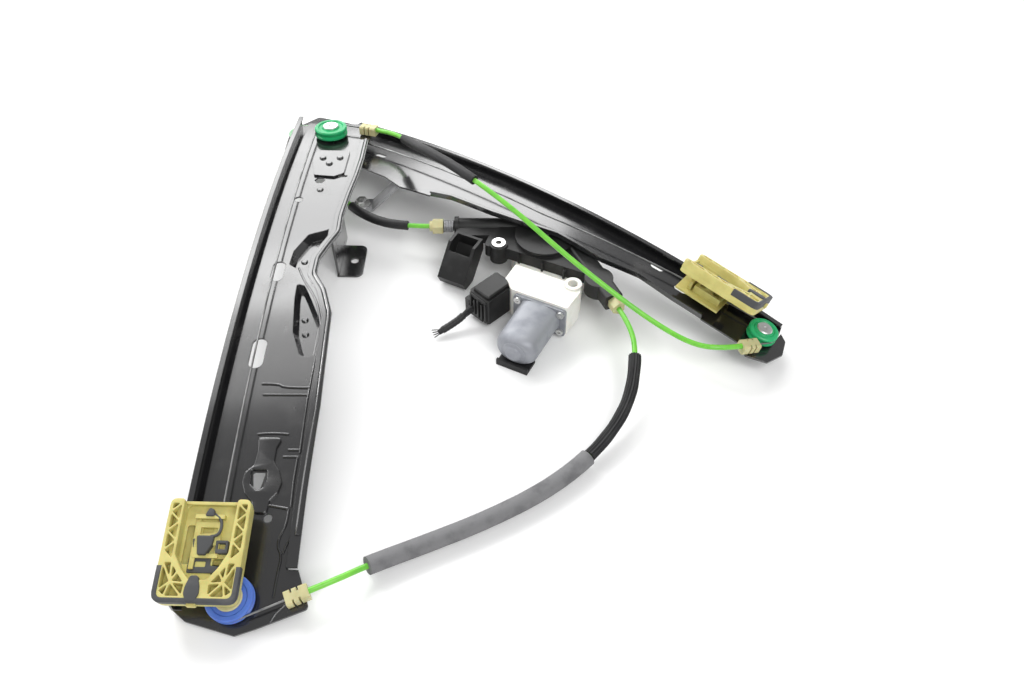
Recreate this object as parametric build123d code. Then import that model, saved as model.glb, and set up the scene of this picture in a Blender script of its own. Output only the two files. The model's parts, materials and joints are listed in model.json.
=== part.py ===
from build123d import *
import math
import os

# Window regulator: two bowed pressed-steel rails joined by cable conduits, with one
# carrier on each rail, a pulley at each rail end and a motor unit with the cable drum.
# Frame: +X along the width, +Y towards the upper rail ends, +Z up, floor at Z = 0.

# Shift that puts the origin under the middle of the part
ORIGIN_X = 4.33
ORIGIN_Y = -13.27

# Rails
RAIL_R = 1350.0
SHEET = 1.5
GUIDE_RISE = 9.0
GUIDE_LIP = 4.5
CHANNEL_DEPTH = 3.0
CHANNEL_WIDTH = 8.5
SHELF_RISE = 4.0
SHELF_WIDTH = 7.0
EDGE_RISE = 4.5
PRESS_DEPTH = 8.0
PANEL_DEPTH = 4.0
PAD_RISE = 2.5
PRESS_TAPER = 25.0
PRESS_LEAD = 1.0
DOME_SINK = 0.3
CORNER_R = 3.0
CORNER_SHARE = 0.45
CORNER_MIN = 0.1
BEND_LIMIT = 400.0
COLUMN_LOW = -60.0
COLUMN_HIGH = 60.0
BAND_WIDTH = 320.0

# Cable and pulleys
CABLE_R = 0.8
CABLE_KNOT_R = 0.84
CABLE_N = 6.5
CABLE_CLEAR = 0.12
PULLEY_T = 9.0
PULLEY_BASE = 2.0
GROOVE_DEPTH = 2.1
PULLEY_BORE = 4.05
AXLE_R = 4.0
RUN_GAP = 0.05
SEAT = 0.03
RIVET_HEAD_R = 8.0
RIVET_HEAD_T = 1.4
RIVET_FOOT_R = 6.5
RIVET_FOOT_T = 1.6
PULLEY_1_R = 16.5
PULLEY_1_LOW_R = 17.0
PULLEY_2_R = 16.5
PULLEY_2_LOW_R = 13.5
CABLE_1_W = 23.0
CABLE_1_LOW_W = 27.5
CABLE_2_W = 34.5
CABLE_2_LOW_W = 9.6

# Conduit end fittings
FIT_L = 17.0
FIT_W = 11.0
FIT_BASE = 0.6
FIT_H = 9.2
FIT_NOTCH = 1.4
FIT_NOTCH_DEPTH = 3.0
FIT_SOCKET = 4.0
CONDUIT_R = 2.3
SOCKET_GAP = 0.05

HEAD_1_TOP = -16.0
HEAD_1_LOW = 24.0
HEAD_2_TOP = -58.0
HEAD_2_LOW = 33.0
REACH_1_TOP = 36.0
REACH_1_LOW = 44.0
REACH_2_TOP = 26.0
REACH_2_LOW = 21.0

# Sleeves
SLEEVE_A_R = 4.5
SLEEVE_B_R = 5.4
FOAM_R = 7.0
SLEEVE_C_R = 4.5
SLEEVE_GAP = 0.1

# Carriers
CARRIER_LENGTH = 74.0
CARRIER_WIDTH = 60.0
FRAME_W0 = -6.0
FRAME_N0 = 14.5
FRAME_T = 11.0
ARM_WIDTH = 12.0
ARM_RIB = 2.2
FRAME_FLOOR = 3.0
SLIDER_LOW = -7.0
SLIDER_HIGH = 36.0
SLIDER_N = 11.4
SLIDER_WIDTH = 39.0
SLIDER_T = 2.1
FOOT_LENGTH = 12.0
FOOT_OUT = 2.5
GUIDE_GAP = 0.3
BOW_GAP = 0.3
PIVOT_W = 2.0
PIVOT_N = 19.0
PIVOT_R = 3.5
TRIM_T = 2.5
TILT_1 = 0.0
TILT_2 = 25.0
TONGUE_R = 5.5
TOWERS = (-1.0, 30.0)
TOWER_T = 5.0
PIVOT_LENGTH = 38.0
PARK_1 = 29.0
PARK_2 = 47.0

# Drive unit
DRIVE_X = 31.0
DRIVE_Y = 82.0
DRIVE_YAW = -27.0
WORM_X = 32.5
WORM_Z = 18.0
DRUM_PATH_R = 22.0
CABLE_Z = 32.0
DRUM_H = 11.0
DRUM_FLANGE_R = 24.5
DRUM_WALL = 2.5
DRUM_CLEAR = 1.2
DRUM_TOP_Z = 40.5
DRUM_FLOOR_Z = 24.0
PLATE_T = 2.0
WHEEL_T = 9.0
WHEEL_TEETH = 73
WHEEL_R = 28.0
WORM_R = 4.2
SHAFT_R = 4.0
GEAR_LOW_Z = 5.0
GEAR_WALL = 2.5
BLOCK_TOP_Z = 36.0
COVER_T = 2.0
CAN_R = 19.0
CAN_FLAT = 15.0
CAN_WALL = 1.8
CAN_LENGTH = 50.0
FLANGE_Y = -76.0
FLANGE_T = 3.0
FLANGE_L = 51.0
FLANGE_H = 31.0
ARMATURE_R = 12.0
ARMATURE_L = 24.0
MAGNET_T = 3.2
MOTOR_SHAFT_R = 2.0
BRUSH_BORE = 12.4
SCREW_R = 1.8
SCREW_HEAD_R = 3.4
EYE_R = 4.5
BUSH_R = 3.3
TUBE_R = 8.0
TUBE_BORE = 3.0
TUBE_X = -55.0
FERRULE_A_X = -76.0
FERRULE_L = 10.0
FERRULE_R = 7.6
SPRING_R = 6.0
OUTLET_ANGLE = -66.5
OUTLET_LENGTH = 98.0
FERRULE_B_L = 10.0
BUSH_X = -34.0
BUSH_Y = -29.0
BOLT_R = 2.7
EYE_X = 50.0
EYE_Y = -46.0
LEG_X = -78.0
LEG_WIDTH = 28.0
LEG_LOW_Z = 3.0
WHEEL_LOW_Z = 13.5
SCREWS = ((11.5, 8.0), (11.5, 29.0), (53.5, 8.0), (53.5, 29.0))
CONNECTOR_X = -14.0
CONNECTOR_Y = -80.0
CONNECTOR_TURN = -18.0
CONNECTOR_LOW = 6.0
CONNECTOR_H = 28.0
HARNESS_R = 3.2

# Brackets
PLATE_RIVETS = ((60, 38), (59, 55), (70, 46))
FOOT_W = 66.0
FOOT_T = 2.0
FOOT_HOLE_X = 12.0
FOOT_HOLE_R = 4.0
STRAP_T = 2.0
STRAP_WIDTH = 18.0
STRAP_EYE = (-152.0, 160.0, 12.0)
STRAP_EYE_R = 9.0
NUT_R = 2.5
NUT_HEX_R = 5.6
NUT_FLANGE_R = 8.0
NUT_H = 6.0

# Cable bend on rail 2 and the routes of the free conduits
BEND_A = 309.0
CONDUIT_A = [(-130, 112, 31), (-160, 136, 30), (-184, 176, 31)]
CONDUIT_B = [(105, -64, 27), (96, -106, 17), (68, -146, 9), (28, -182, 8), (-20, -210, 8),
             (-66, -231, 8), (-104, -248, 9)]
CONDUIT_C = [(-99, 186, 69), (-77, 132, 98), (-46, 89, 110), (0, 48, 100), (42, 14, 80),
             (86, -13, 57), (123, -32, 38), (153, -52, 33)]
SLEEVE_A = (28.0, 96.0)
SLEEVE_B = (57.0, 162.0)
FOAM_B = (164.0, 357.0)
SLEEVE_C = (52.0, 211.0)

os.makedirs("parts", exist_ok=True)


class Rail:
    """One rail's own frame: x across from the guide edge, y up the rail, z off the web."""

    def __init__(self, origin, yaw, pitch, roll, half, mirrored):
        self.frame = Pos(*origin) * Rot(0, 0, yaw) * Rot(pitch, 0, 0) * Rot(0, roll, 0)
        self.half = half
        self.mirrored = mirrored

    def angle(self, along):
        return self.half - along / RAIL_R

    def spot(self, along, across=0.0, rise=0.0):
        phi = self.angle(along)
        y = RAIL_R * math.sin(phi)
        z = RAIL_R * math.cos(phi) - RAIL_R
        return Pos(0, y, z) * Rot(-math.degrees(phi), 0, 0) * Pos(across, 0, rise)

    def seat(self, shape):
        if self.mirrored:
            shape = mirror(shape, Plane.YZ)
        return self.frame * shape

    def point(self, along, across, rise):
        local = self.spot(along, across, rise).position
        x = -local.X if self.mirrored else local.X
        return (self.frame * Pos(x, local.Y, local.Z)).position


RAIL_1 = Rail((-233.82, -20.5, 51.1), -1.531, 3.78, 0.0, 0.19921, False)
RAIL_2 = Rail((22.42, 144.7, 40.7), 53.553, 0.0, 8.0, 0.20544, True)
DRIVE = Pos(DRIVE_X, DRIVE_Y, 0) * Rot(0, 0, DRIVE_YAW)

OUTLINE_1 = [
    (-17, 0), (-17, 66), (-2, 80), (24, 79), (61, 80), (92, 79), (125, 76), (157, 74),
    (180, 75), (198, 68), (216, 62), (236, 62), (254, 73), (281, 82), (324, 84),
    (373, 86), (442, 86), (505, 87), (532, 98), (547, 62), (552, 48), (543, 12), (534, 0),
]
SHELF_1 = OUTLINE_1[3:18]
OUTLINE_2 = [
    (-29, -8), (-30, 23), (-17, 50), (8, 79), (34, 90), (60, 76), (111, 70), (144, 71),
    (170, 78), (204, 73), (224, 66), (269, 62), (300, 56), (336, 47), (386, 49),
    (422, 42), (459, 45), (490, 45), (528, 44), (540, 53), (558, 44), (564, 24),
    (559, 7), (550, 0), (45, 0), (35, -8),
]
EDGE_2 = OUTLINE_2[9:18]
GUIDE_1 = (-17.0, 534.0)
GUIDE_2 = (45.0, 550.0)

PULLEY_1_TOP = (11.0, CABLE_1_W + PULLEY_1_R - GROOVE_DEPTH + CABLE_R + CABLE_CLEAR)
PULLEY_1_LOW = (528.0, CABLE_1_LOW_W + PULLEY_1_LOW_R - GROOVE_DEPTH + CABLE_R + CABLE_CLEAR)
PULLEY_2_TOP = (10.0, CABLE_2_W + PULLEY_2_R - GROOVE_DEPTH + CABLE_R + CABLE_CLEAR)
PULLEY_2_LOW = (539.0, CABLE_2_LOW_W + PULLEY_2_LOW_R - GROOVE_DEPTH + CABLE_R + CABLE_CLEAR)


def save(shape, name):
    export_step(Pos(ORIGIN_X, ORIGIN_Y, 0) * shape, "parts/" + name + ".step")


def largest(shape):
    return shape.solids().sort_by(SortBy.VOLUME)[-1]


def corner_radii(points, limit, closed=True):
    """Radius for each corner, up to the limit, that its two sides leave room for."""
    radii = []
    count = len(points)
    for i in range(count) if closed else range(1, count - 1):
        before = Vector(*points[i]) - Vector(*points[i - 1])
        after = Vector(*points[(i + 1) % count]) - Vector(*points[i])
        turn = math.radians(before.get_angle(after))
        room = CORNER_SHARE * min(before.length, after.length) / math.tan(turn / 2)
        radii.append(0 if turn < CORNER_MIN and closed else min(limit, room))
    return radii


def soft(points, radius):
    """Closed outline with rounded corners."""
    return make_face(FilletPolyline(*points, radius=corner_radii(points, radius), close=True))


def flat(rail, points, radius):
    plan = [(w, RAIL_R * math.sin(rail.angle(a))) for a, w in points]
    return soft(plan, radius)


def band(low, high):
    outer = Cylinder(RAIL_R + high, BAND_WIDTH, rotation=(0, 90, 0))
    inner = Cylinder(RAIL_R + low, BAND_WIDTH + SHEET, rotation=(0, 90, 0))
    return Pos(0, 0, -RAIL_R) * (outer - inner)


def skin(rail, points, low, high, radius=0.0):
    """The part of the bowed sheet between two heights that lies inside an outline."""
    column = extrude(flat(rail, points, radius), amount=COLUMN_HIGH - COLUMN_LOW)
    return (Pos(0, 0, COLUMN_LOW) * column) & band(low, high)


def strip(rail, ends, w0, w1, low, high):
    a0, a1 = ends
    return skin(rail, [(a0, w0), (a0, w1), (a1, w1), (a1, w0)], low, high)


def guide(rail, web, ends):
    """Folds the guide flange with its lip and the channel beside it."""
    floor_n = -CHANNEL_DEPTH
    web -= strip(rail, (ends[0] - SHEET, ends[1] + SHEET), -SHEET, CHANNEL_WIDTH, -SHEET, 0)
    web += strip(rail, ends, 0, SHEET, floor_n - SHEET, GUIDE_RISE)
    web += strip(rail, ends, 0, GUIDE_LIP, GUIDE_RISE - SHEET, GUIDE_RISE)
    web += strip(rail, ends, 0, CHANNEL_WIDTH + SHEET, floor_n - SHEET, floor_n)
    web += strip(rail, ends, CHANNEL_WIDTH, CHANNEL_WIDTH + SHEET, floor_n - SHEET, 0)
    return web


def ledge(rail, web, outer, width, rise):
    """Raises the border of the web by one step that follows the wavy edge."""
    inner = [(a, w - width) for a, w in outer]
    back = [(a, w - width - SHEET) for a, w in outer]
    web -= skin(rail, outer + inner[::-1], -SHEET, 0)
    web += skin(rail, outer + inner[::-1], rise - SHEET, rise)
    web += skin(rail, inner + back[::-1], -SHEET, rise)
    return web


def press(rail, web, points, depth, radius=5.0):
    """Presses a panel of the web down (depth > 0) or up (depth < 0) with sloped walls."""
    middle = sum(a for a, w in points) / len(points)
    plan = [(w, middle - a) for a, w in points]
    face = soft(plan, radius)
    rise = abs(depth)
    tool = extrude(face, amount=PRESS_LEAD + SHEET + rise, taper=PRESS_TAPER)
    outer = Pos(0, 0, -SHEET - PRESS_LEAD) * tool
    inner = Pos(0, 0, -SHEET) * outer
    keep = band(-SHEET, COLUMN_HIGH)
    if depth > 0:
        outer = Pos(0, 0, -SHEET) * mirror(outer, Plane.XY)
        inner = Pos(0, 0, -SHEET) * mirror(inner, Plane.XY)
        keep = band(COLUMN_LOW, 0)
    place = rail.spot(middle)
    shell = (place * outer - place * inner) & keep
    return web - place * outer + shell


def drill(rail, web, along, across, radius):
    return web - rail.spot(along, across) * Cylinder(radius, 30)


def slot(rail, web, along, across, length, width):
    cut = extrude(Rot(0, 0, 90) * SlotOverall(length, width), amount=30)
    return web - rail.spot(along, across, -15) * cut


def dome(rail, along, across, radius, height, low=0.0):
    bump = Cylinder(radius, height + DOME_SINK, align=(Align.CENTER, Align.CENTER, Align.MIN))
    top = bump.faces().sort_by(Axis.Z)[-1]
    bump = chamfer(top.edges(), height * 0.6)
    return rail.spot(along, across, low - DOME_SINK) * bump


def make_rail_1():
    web = skin(RAIL_1, OUTLINE_1, -SHEET, 0, CORNER_R)
    web = guide(RAIL_1, web, GUIDE_1)
    web = ledge(RAIL_1, web, SHELF_1, SHELF_WIDTH, SHELF_RISE)
    web = press(RAIL_1, web, [(157, 63), (172, 62), (180, 44), (204, 34), (222, 33),
                              (228, 42), (226, 52), (203, 56.5), (187, 64)], PRESS_DEPTH)
    web = press(RAIL_1, web, [(243, 44), (262, 45), (300, 50), (326, 60), (326, 74),
                              (288, 74), (262, 62), (246, 54)], PRESS_DEPTH)
    web = press(RAIL_1, web, [(361, 37), (361, 76), (404, 76), (404, 37)], PANEL_DEPTH)
    web = press(RAIL_1, web, [(402, 37), (402, 57), (424, 56), (432, 63), (448, 63),
                              (464, 52), (464, 42), (448, 31), (432, 31), (424, 38)], -PAD_RISE, 4.0)
    web = press(RAIL_1, web, [(420, 66), (420, 78), (463, 78), (463, 66)], PANEL_DEPTH, 4.0)
    web = press(RAIL_1, web, [(313, 45), (313, 55), (358, 55), (358, 45)], -1.5, 4.0)
    web = press(RAIL_1, web, [(474, 62), (474, 78), (512, 78), (512, 66)], PANEL_DEPTH, 4.0)
    web = drill(RAIL_1, web, 129, 26, 4.0)
    web = drill(RAIL_1, web, 187, 54, 2.2)
    web = drill(RAIL_1, web, 467, 59, 3.2)
    web = slot(RAIL_1, web, 230, 26, 24, 11)
    web = slot(RAIL_1, web, 322, 26, 30, 12)
    web -= RAIL_1.spot(97, 41, -15) * extrude(RegularPolygon(5.2, 6), amount=30)
    eye = soft([(-5, 8.5), (5, 8.5), (2, -8.5), (-2, -8.5)], 1.8)
    web -= RAIL_1.spot(439, 47, -15) * extrude(eye, amount=30)
    web -= RAIL_1.spot(89, 62, -15) * extrude(Rectangle(9, 3), amount=30)
    for place in (PULLEY_1_TOP, PULLEY_1_LOW):
        web = drill(RAIL_1, web, place[0], place[1], AXLE_R)
    for along, across in ((210, 45), (280, 57), (296, 60)):
        web += dome(RAIL_1, along, across, 3.0, 1.6, -PRESS_DEPTH)
    web += dome(RAIL_1, 113, 44, 3.2, 1.4)
    return RAIL_1.seat(largest(web))


def make_rail_2():
    web = skin(RAIL_2, OUTLINE_2, -SHEET, 0, CORNER_R)
    web = guide(RAIL_2, web, GUIDE_2)
    web = ledge(RAIL_2, web, EDGE_2, SHEET, EDGE_RISE)
    web = press(RAIL_2, web, [(140, 36), (146, 54), (176, 57), (226, 54), (232, 46),
                              (216, 38)], PANEL_DEPTH)
    web = press(RAIL_2, web, [(108, 46), (104, 60), (128, 60), (128, 46)], -1.5, 4.0)
    web = press(RAIL_2, web, [(300, 16), (300, 28), (318, 28), (318, 16)], -2.0, 4.0)
    web = press(RAIL_2, web, [(368, 26), (368, 40), (398, 40), (398, 26)], -2.0, 4.0)
    web = slot(RAIL_2, web, 109, 38, 14, 6)
    web = slot(RAIL_2, web, 427, 15, 13, 7)
    web = slot(RAIL_2, web, 458, 25, 13, 7)
    for place in (PULLEY_2_TOP, PULLEY_2_LOW):
        web = drill(RAIL_2, web, place[0], place[1], AXLE_R)
    for along, across in ((174, 48), (190, 52)):
        web += dome(RAIL_2, along, across, 3.4, 2.0, -PANEL_DEPTH)
    return RAIL_2.seat(largest(web))


def make_pulley(rail, place, radius):
    """Grooved nylon pulley with a raised rim and a dished face."""
    groove = radius - GROOVE_DEPTH
    half = PULLEY_T / 2
    profile = Polyline(
        (PULLEY_BORE, -half), (radius - 1, -half), (radius, -half + 1), (radius, -1.9),
        (groove, -CABLE_R * 0.9), (groove, CABLE_R * 0.9), (radius, 1.9), (radius, half - 1),
        (radius - 1, half), (radius - 3.5, half), (radius - 4.5, half - 1),
        (RIVET_HEAD_R + 1.2, half - 1), (RIVET_HEAD_R + 0.4, half), (PULLEY_BORE, half), close=True)
    wheel = revolve(Plane.XZ * make_face(profile), axis=Axis.Z)
    return rail.seat(rail.spot(place[0], place[1], PULLEY_BASE + half) * wheel)


def make_rivet(rail, place, head_r=RIVET_HEAD_R):
    """Pulley rivet: shank, shoulder under the pulley, head above and below."""
    top = PULLEY_BASE + PULLEY_T + RUN_GAP
    low = (Align.CENTER, Align.CENTER, Align.MIN)
    pin = Pos(0, 0, -SHEET) * Cylinder(AXLE_R, top + SHEET, align=low)
    pin += Pos(0, 0, SEAT) * Cylinder(RIVET_FOOT_R, PULLEY_BASE - RUN_GAP - SEAT, align=low)
    cap = Cylinder(head_r, RIVET_HEAD_T, align=low)
    cap = chamfer(cap.faces().sort_by(Axis.Z)[-1].edges(), RIVET_HEAD_T * 0.5)
    cap -= Pos(0, 0, RIVET_HEAD_T * 0.5) * Cylinder(AXLE_R * 0.45, RIVET_HEAD_T, align=low)
    pin += Pos(0, 0, top) * cap
    pin += Pos(0, 0, -SHEET - SEAT - RIVET_FOOT_T) * Cylinder(RIVET_FOOT_R, RIVET_FOOT_T, align=low)
    pin += Pos(0, 0, -SHEET - SEAT) * Cylinder(AXLE_R, SEAT, align=low)
    return rail.seat(rail.spot(place[0], place[1]) * pin)


def tangent(place, path_r, heading, side):
    turn = math.radians(heading)
    w = place[1] - side * path_r * math.sin(turn)
    a = place[0] - side * path_r * math.cos(turn)
    return (a, w)


def step(start, heading, distance):
    turn = math.radians(heading)
    return (start[0] - distance * math.sin(turn), start[1] + distance * math.cos(turn))


def tube(path, radius):
    profile = Plane(origin=path @ 0, z_dir=path % 0) * Circle(radius)
    return sweep(profile, path=path)


def arc_on_pulley(rail, place, path_r, first, sweep_angle):
    edge = CenterArc((0, 0), path_r, first, sweep_angle)
    return rail.spot(place[0], place[1], CABLE_N) * edge


def make_fitting(rail, centre, heading):
    """Nylon conduit end: a notched block with a cable bore and a conduit socket."""
    body = Box(FIT_L, FIT_W, FIT_H, align=(Align.CENTER, Align.CENTER, Align.MIN))
    body = chamfer(body.edges().filter_by(Axis.X), 1.2)
    for side in (-1, 1):
        for shift in (-3.2, 1.6):
            notch = Box(FIT_NOTCH, FIT_NOTCH_DEPTH, FIT_H * 2)
            body -= Pos(shift, side * (FIT_W - FIT_NOTCH_DEPTH) / 2, 0) * notch
    bore_z = CABLE_N - FIT_BASE
    body -= Pos(0, 0, bore_z) * Cylinder(CABLE_R * 2, FIT_L * 2, rotation=(0, 90, 0))
    socket = Cylinder(CONDUIT_R + SOCKET_GAP, FIT_SOCKET * 2, rotation=(0, 90, 0))
    body -= Pos(FIT_L / 2, 0, bore_z) * socket
    return rail.seat(rail.spot(centre[0], centre[1], FIT_BASE) * Rot(0, 0, heading) * body)


def fitting_mouth(rail, centre, heading, distance):
    flat_place = rail.spot(centre[0], centre[1], CABLE_N) * Rot(0, 0, heading) * Pos(distance, 0, 0)
    local = flat_place.position
    x = -local.X if rail.mirrored else local.X
    return (rail.frame * Pos(x, local.Y, local.Z)).position


def path_r(radius):
    return radius - GROOVE_DEPTH + CABLE_R + CABLE_CLEAR


def cable_round(rail, place, radius, heading, reach, side, first):
    """Cable path round a pulley from its guide side and on into the conduit end."""
    turn_r = path_r(radius)
    last = heading + 90.0 * side
    sweep_angle = (last - first) % (-360.0 * side)
    wrap = arc_on_pulley(rail, place, turn_r, first, sweep_angle)
    leave = tangent(place, turn_r, heading, side)
    centre = step(leave, heading, reach)
    target = (rail.spot(place[0], place[1], CABLE_N)
              * Pos(centre[1] - place[1], place[0] - centre[0], 0)).position
    return [wrap, Line(wrap @ 1, target)], wrap @ 0, centre


def make_cable_1():
    lean = math.degrees(math.atan2(CABLE_1_LOW_W - CABLE_1_W, PULLEY_1_LOW[0] - PULLEY_1_TOP[0]))
    top, start, fit_top = cable_round(
        RAIL_1, PULLEY_1_TOP, PULLEY_1_R, HEAD_1_TOP, REACH_1_TOP, 1, 180.0 - lean)
    low, end, fit_low = cable_round(
        RAIL_1, PULLEY_1_LOW, PULLEY_1_LOW_R, HEAD_1_LOW, REACH_1_LOW, -1, 180.0 - lean)
    middle = RAIL_1.spot((PULLEY_1_TOP[0] + PULLEY_1_LOW[0]) / 2,
                         (CABLE_1_W + CABLE_1_LOW_W) / 2, CABLE_N).position
    run = ThreePointArc(start, middle, end)
    save(RAIL_1.seat(tube(Wire([*top, run, *low]), CABLE_R)), "cable_rail_1")
    save(make_fitting(RAIL_1, fit_top, HEAD_1_TOP), "conduit_end_1_upper")
    save(make_fitting(RAIL_1, fit_low, HEAD_1_LOW), "conduit_end_1_lower")
    return fit_top, fit_low


def make_cable_2():
    lean = math.degrees(math.atan2(CABLE_2_W - CABLE_2_LOW_W, PULLEY_2_LOW[0] - BEND_A))
    top, start, fit_top = cable_round(
        RAIL_2, PULLEY_2_TOP, PULLEY_2_R, HEAD_2_TOP, REACH_2_TOP, 1, 180.0)
    low, end, fit_low = cable_round(
        RAIL_2, PULLEY_2_LOW, PULLEY_2_LOW_R, HEAD_2_LOW, REACH_2_LOW, -1, 180.0 - lean)
    bend = RAIL_2.spot(BEND_A, CABLE_2_W, CABLE_N).position
    upper = RAIL_2.spot((PULLEY_2_TOP[0] + BEND_A) / 2, CABLE_2_W, CABLE_N).position
    lower = RAIL_2.spot((PULLEY_2_LOW[0] + BEND_A) / 2,
                        (CABLE_2_W + CABLE_2_LOW_W) / 2, CABLE_N).position
    rope = tube(Wire([*top, ThreePointArc(start, upper, bend)]), CABLE_R)
    rope += tube(Wire([ThreePointArc(bend, lower, end), *low]), CABLE_R)
    rope += Pos(*bend) * Sphere(CABLE_KNOT_R)
    save(RAIL_2.seat(rope), "cable_rail_2")
    save(make_fitting(RAIL_2, fit_top, HEAD_2_TOP), "conduit_end_2_upper")
    save(make_fitting(RAIL_2, fit_low, HEAD_2_LOW), "conduit_end_2_lower")
    return fit_top, fit_low


def conduit(name, points, radius=CONDUIT_R):
    radii = corner_radii(points, BEND_LIMIT, False)
    route = FilletPolyline(*points, radius=radii)
    save(tube(route, radius), name)
    print(name, "length", round(route.length, 1), "radii", [round(r) for r in radii])
    return route


def sleeve(name, route, start, end, radius):
    """Sleeve over a stretch of a conduit, from start to end along its length."""
    part_route = route.trim(start / route.length, end / route.length)
    shell = tube(part_route, radius) - tube(part_route, CONDUIT_R + SLEEVE_GAP)
    save(shell, name)


def make_conduits():
    fit_1_top, fit_1_low = make_cable_1()
    fit_2_top, fit_2_low = make_cable_2()
    socket = FIT_L / 2 - FIT_SOCKET

    def ends(rail, centre, heading):
        return [tuple(fitting_mouth(rail, centre, heading, d)) for d in (socket, socket + 24.0)]

    c0, c1 = ends(RAIL_1, fit_1_top, HEAD_1_TOP)
    c9, c8 = ends(RAIL_2, fit_2_low, HEAD_2_LOW)
    route_c = conduit("conduit_c", [c0, c1, *CONDUIT_C, c8, c9])
    sleeve("sleeve_c", route_c, SLEEVE_C[0], SLEEVE_C[1], SLEEVE_C_R)

    b9, b8 = ends(RAIL_1, fit_1_low, HEAD_1_LOW)
    start_b = outlet_point(OUTLET_LENGTH + FERRULE_B_L - FIT_SOCKET)
    next_b = outlet_point(OUTLET_LENGTH + FERRULE_B_L + 24.0)
    route_b = conduit("conduit_b", [start_b, next_b, *CONDUIT_B, b8, b9])
    sleeve("sleeve_b_ribbed", route_b, SLEEVE_B[0], SLEEVE_B[1], SLEEVE_B_R)
    sleeve("sleeve_b_foam", route_b, FOAM_B[0], FOAM_B[1], FOAM_R)

    a9, a8 = ends(RAIL_2, fit_2_top, HEAD_2_TOP)
    tip = FERRULE_A_X + FIT_SOCKET
    start_a = (tip, DRIVE_Y + DRUM_PATH_R, CABLE_Z)
    next_a = (tip - 28.0, DRIVE_Y + DRUM_PATH_R, CABLE_Z)
    route_a = conduit("conduit_a", [start_a, next_a, *CONDUIT_A, a8, a9])
    sleeve("sleeve_a", route_a, SLEEVE_A[0], SLEEVE_A[1], SLEEVE_A_R)


def outlet_point(distance):
    turn = math.radians(OUTLET_ANGLE)
    x = DRIVE_X - DRUM_PATH_R * math.sin(turn) + distance * math.cos(turn)
    y = DRIVE_Y + DRUM_PATH_R * math.cos(turn) + distance * math.sin(turn)
    return (x, y, CABLE_Z)


def outlet_frame():
    x, y, z = outlet_point(0.0)
    return Pos(x, y, z) * Rot(0, 0, OUTLET_ANGLE)


# Brackets

def make_plate():
    """Doubler riveted on rail 1 below the upper pulley."""
    plate = skin(RAIL_1, [(44, 28), (44, 63), (86, 63), (92, 54), (90, 34), (66, 28)], 0, PLATE_T, 3.0)
    for along, across in PLATE_RIVETS:
        plate += dome(RAIL_1, along, across, 3.4, 1.8, PLATE_T)
    return RAIL_1.seat(plate)


def make_foot():
    """Mounting foot under rail 1: flange under the web, upright wall and bolted foot."""
    flange = strip(RAIL_1, (128, 154), 50, FOOT_W, -SHEET - FOOT_T, -SHEET)
    wall = strip(RAIL_1, (128, 182), FOOT_W - FOOT_T, FOOT_W, -COLUMN_HIGH * 0.9, -SHEET)
    wall = RAIL_1.frame * (flange + wall)
    spot = RAIL_1.point(158, FOOT_W, 0)
    sole = Pos(spot.X, spot.Y, 0) * Rot(0, 0, -1.5)
    wall -= Pos(spot.X, spot.Y, FOOT_T) * Box(200, 200, 200, align=(Align.CENTER, Align.CENTER, Align.MAX))
    plate = Pos(-FOOT_T, 0, 0) * Box(24, 44, FOOT_T, align=(Align.MIN, Align.CENTER, Align.MIN))
    plate = fillet(plate.edges().filter_by(Axis.Z).sort_by(Axis.X)[-2:], 7)
    plate -= Pos(FOOT_HOLE_X, 0, 0) * Cylinder(FOOT_HOLE_R, FOOT_T * 4)
    return wall + sole * plate


def make_strap():
    """Formed strap from the underside of rail 2 down to its weld-nut eye."""
    tab = RAIL_2.seat(strip(RAIL_2, (150, 172), 60, 71, -SHEET - STRAP_T, -SHEET))
    high = RAIL_2.point(161, 68, -SHEET - STRAP_T)
    eye = Pos(STRAP_EYE[0], STRAP_EYE[1], STRAP_EYE[2])
    disc = eye * Cylinder(STRAP_EYE_R, STRAP_T, align=(Align.CENTER, Align.CENTER, Align.MIN))
    low_x, low_z = STRAP_EYE[0] + STRAP_EYE_R * 0.6, STRAP_EYE[2]
    profile = Polyline(
        (low_x - 6, low_z), (low_x + 6, low_z), (high.X, high.Z), (high.X + 6, high.Z + 0.4),
        (high.X + 6, high.Z + 0.4 + STRAP_T), (high.X - 1, high.Z + STRAP_T),
        (low_x + 5, low_z + STRAP_T), (low_x - 6, low_z + STRAP_T), close=True)
    wall = extrude(Plane.XZ * make_face(profile), amount=STRAP_WIDTH / 2, both=True)
    wall = Pos(0, (high.Y + STRAP_EYE[1]) / 2, 0) * wall
    wall -= RAIL_2.seat(strip(RAIL_2, (100, 240), 20, 110, -SHEET - SEAT, COLUMN_HIGH))
    strap = tab + wall + disc
    strap -= eye * Cylinder(NUT_R, 20)
    return strap


def make_weld_nut():
    low = (Align.CENTER, Align.CENTER, Align.MIN)
    nut = Cylinder(NUT_FLANGE_R, 1.5, align=low) + extrude(RegularPolygon(NUT_HEX_R, 6), amount=NUT_H)
    nut -= Cylinder(NUT_R, NUT_H * 3)
    return Pos(STRAP_EYE[0], STRAP_EYE[1], STRAP_EYE[2] + STRAP_T) * nut


# Drive unit

def block(points, low, high, radius=0.0):
    return Pos(0, 0, low) * extrude(soft(points, radius), amount=high - low)


def disc(radius, low, high, x=0.0, y=0.0):
    return Pos(x, y, low) * Cylinder(radius, high - low, align=(Align.CENTER, Align.CENTER, Align.MIN))


def rod(radius, y0, y1, x=WORM_X, z=WORM_Z):
    length = abs(y1 - y0)
    return Pos(x, (y0 + y1) / 2, z) * Cylinder(radius, length, rotation=(90, 0, 0))


BODY = [(-46, -36), (-22, -30), (56, -28), (62, -14), (30, 12), (-30, 12), (-50, -12)]
BLOCK = [(-8, -45), (-8, -66), (3, -76), (58, -76), (60, -52), (56, -45)]


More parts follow.
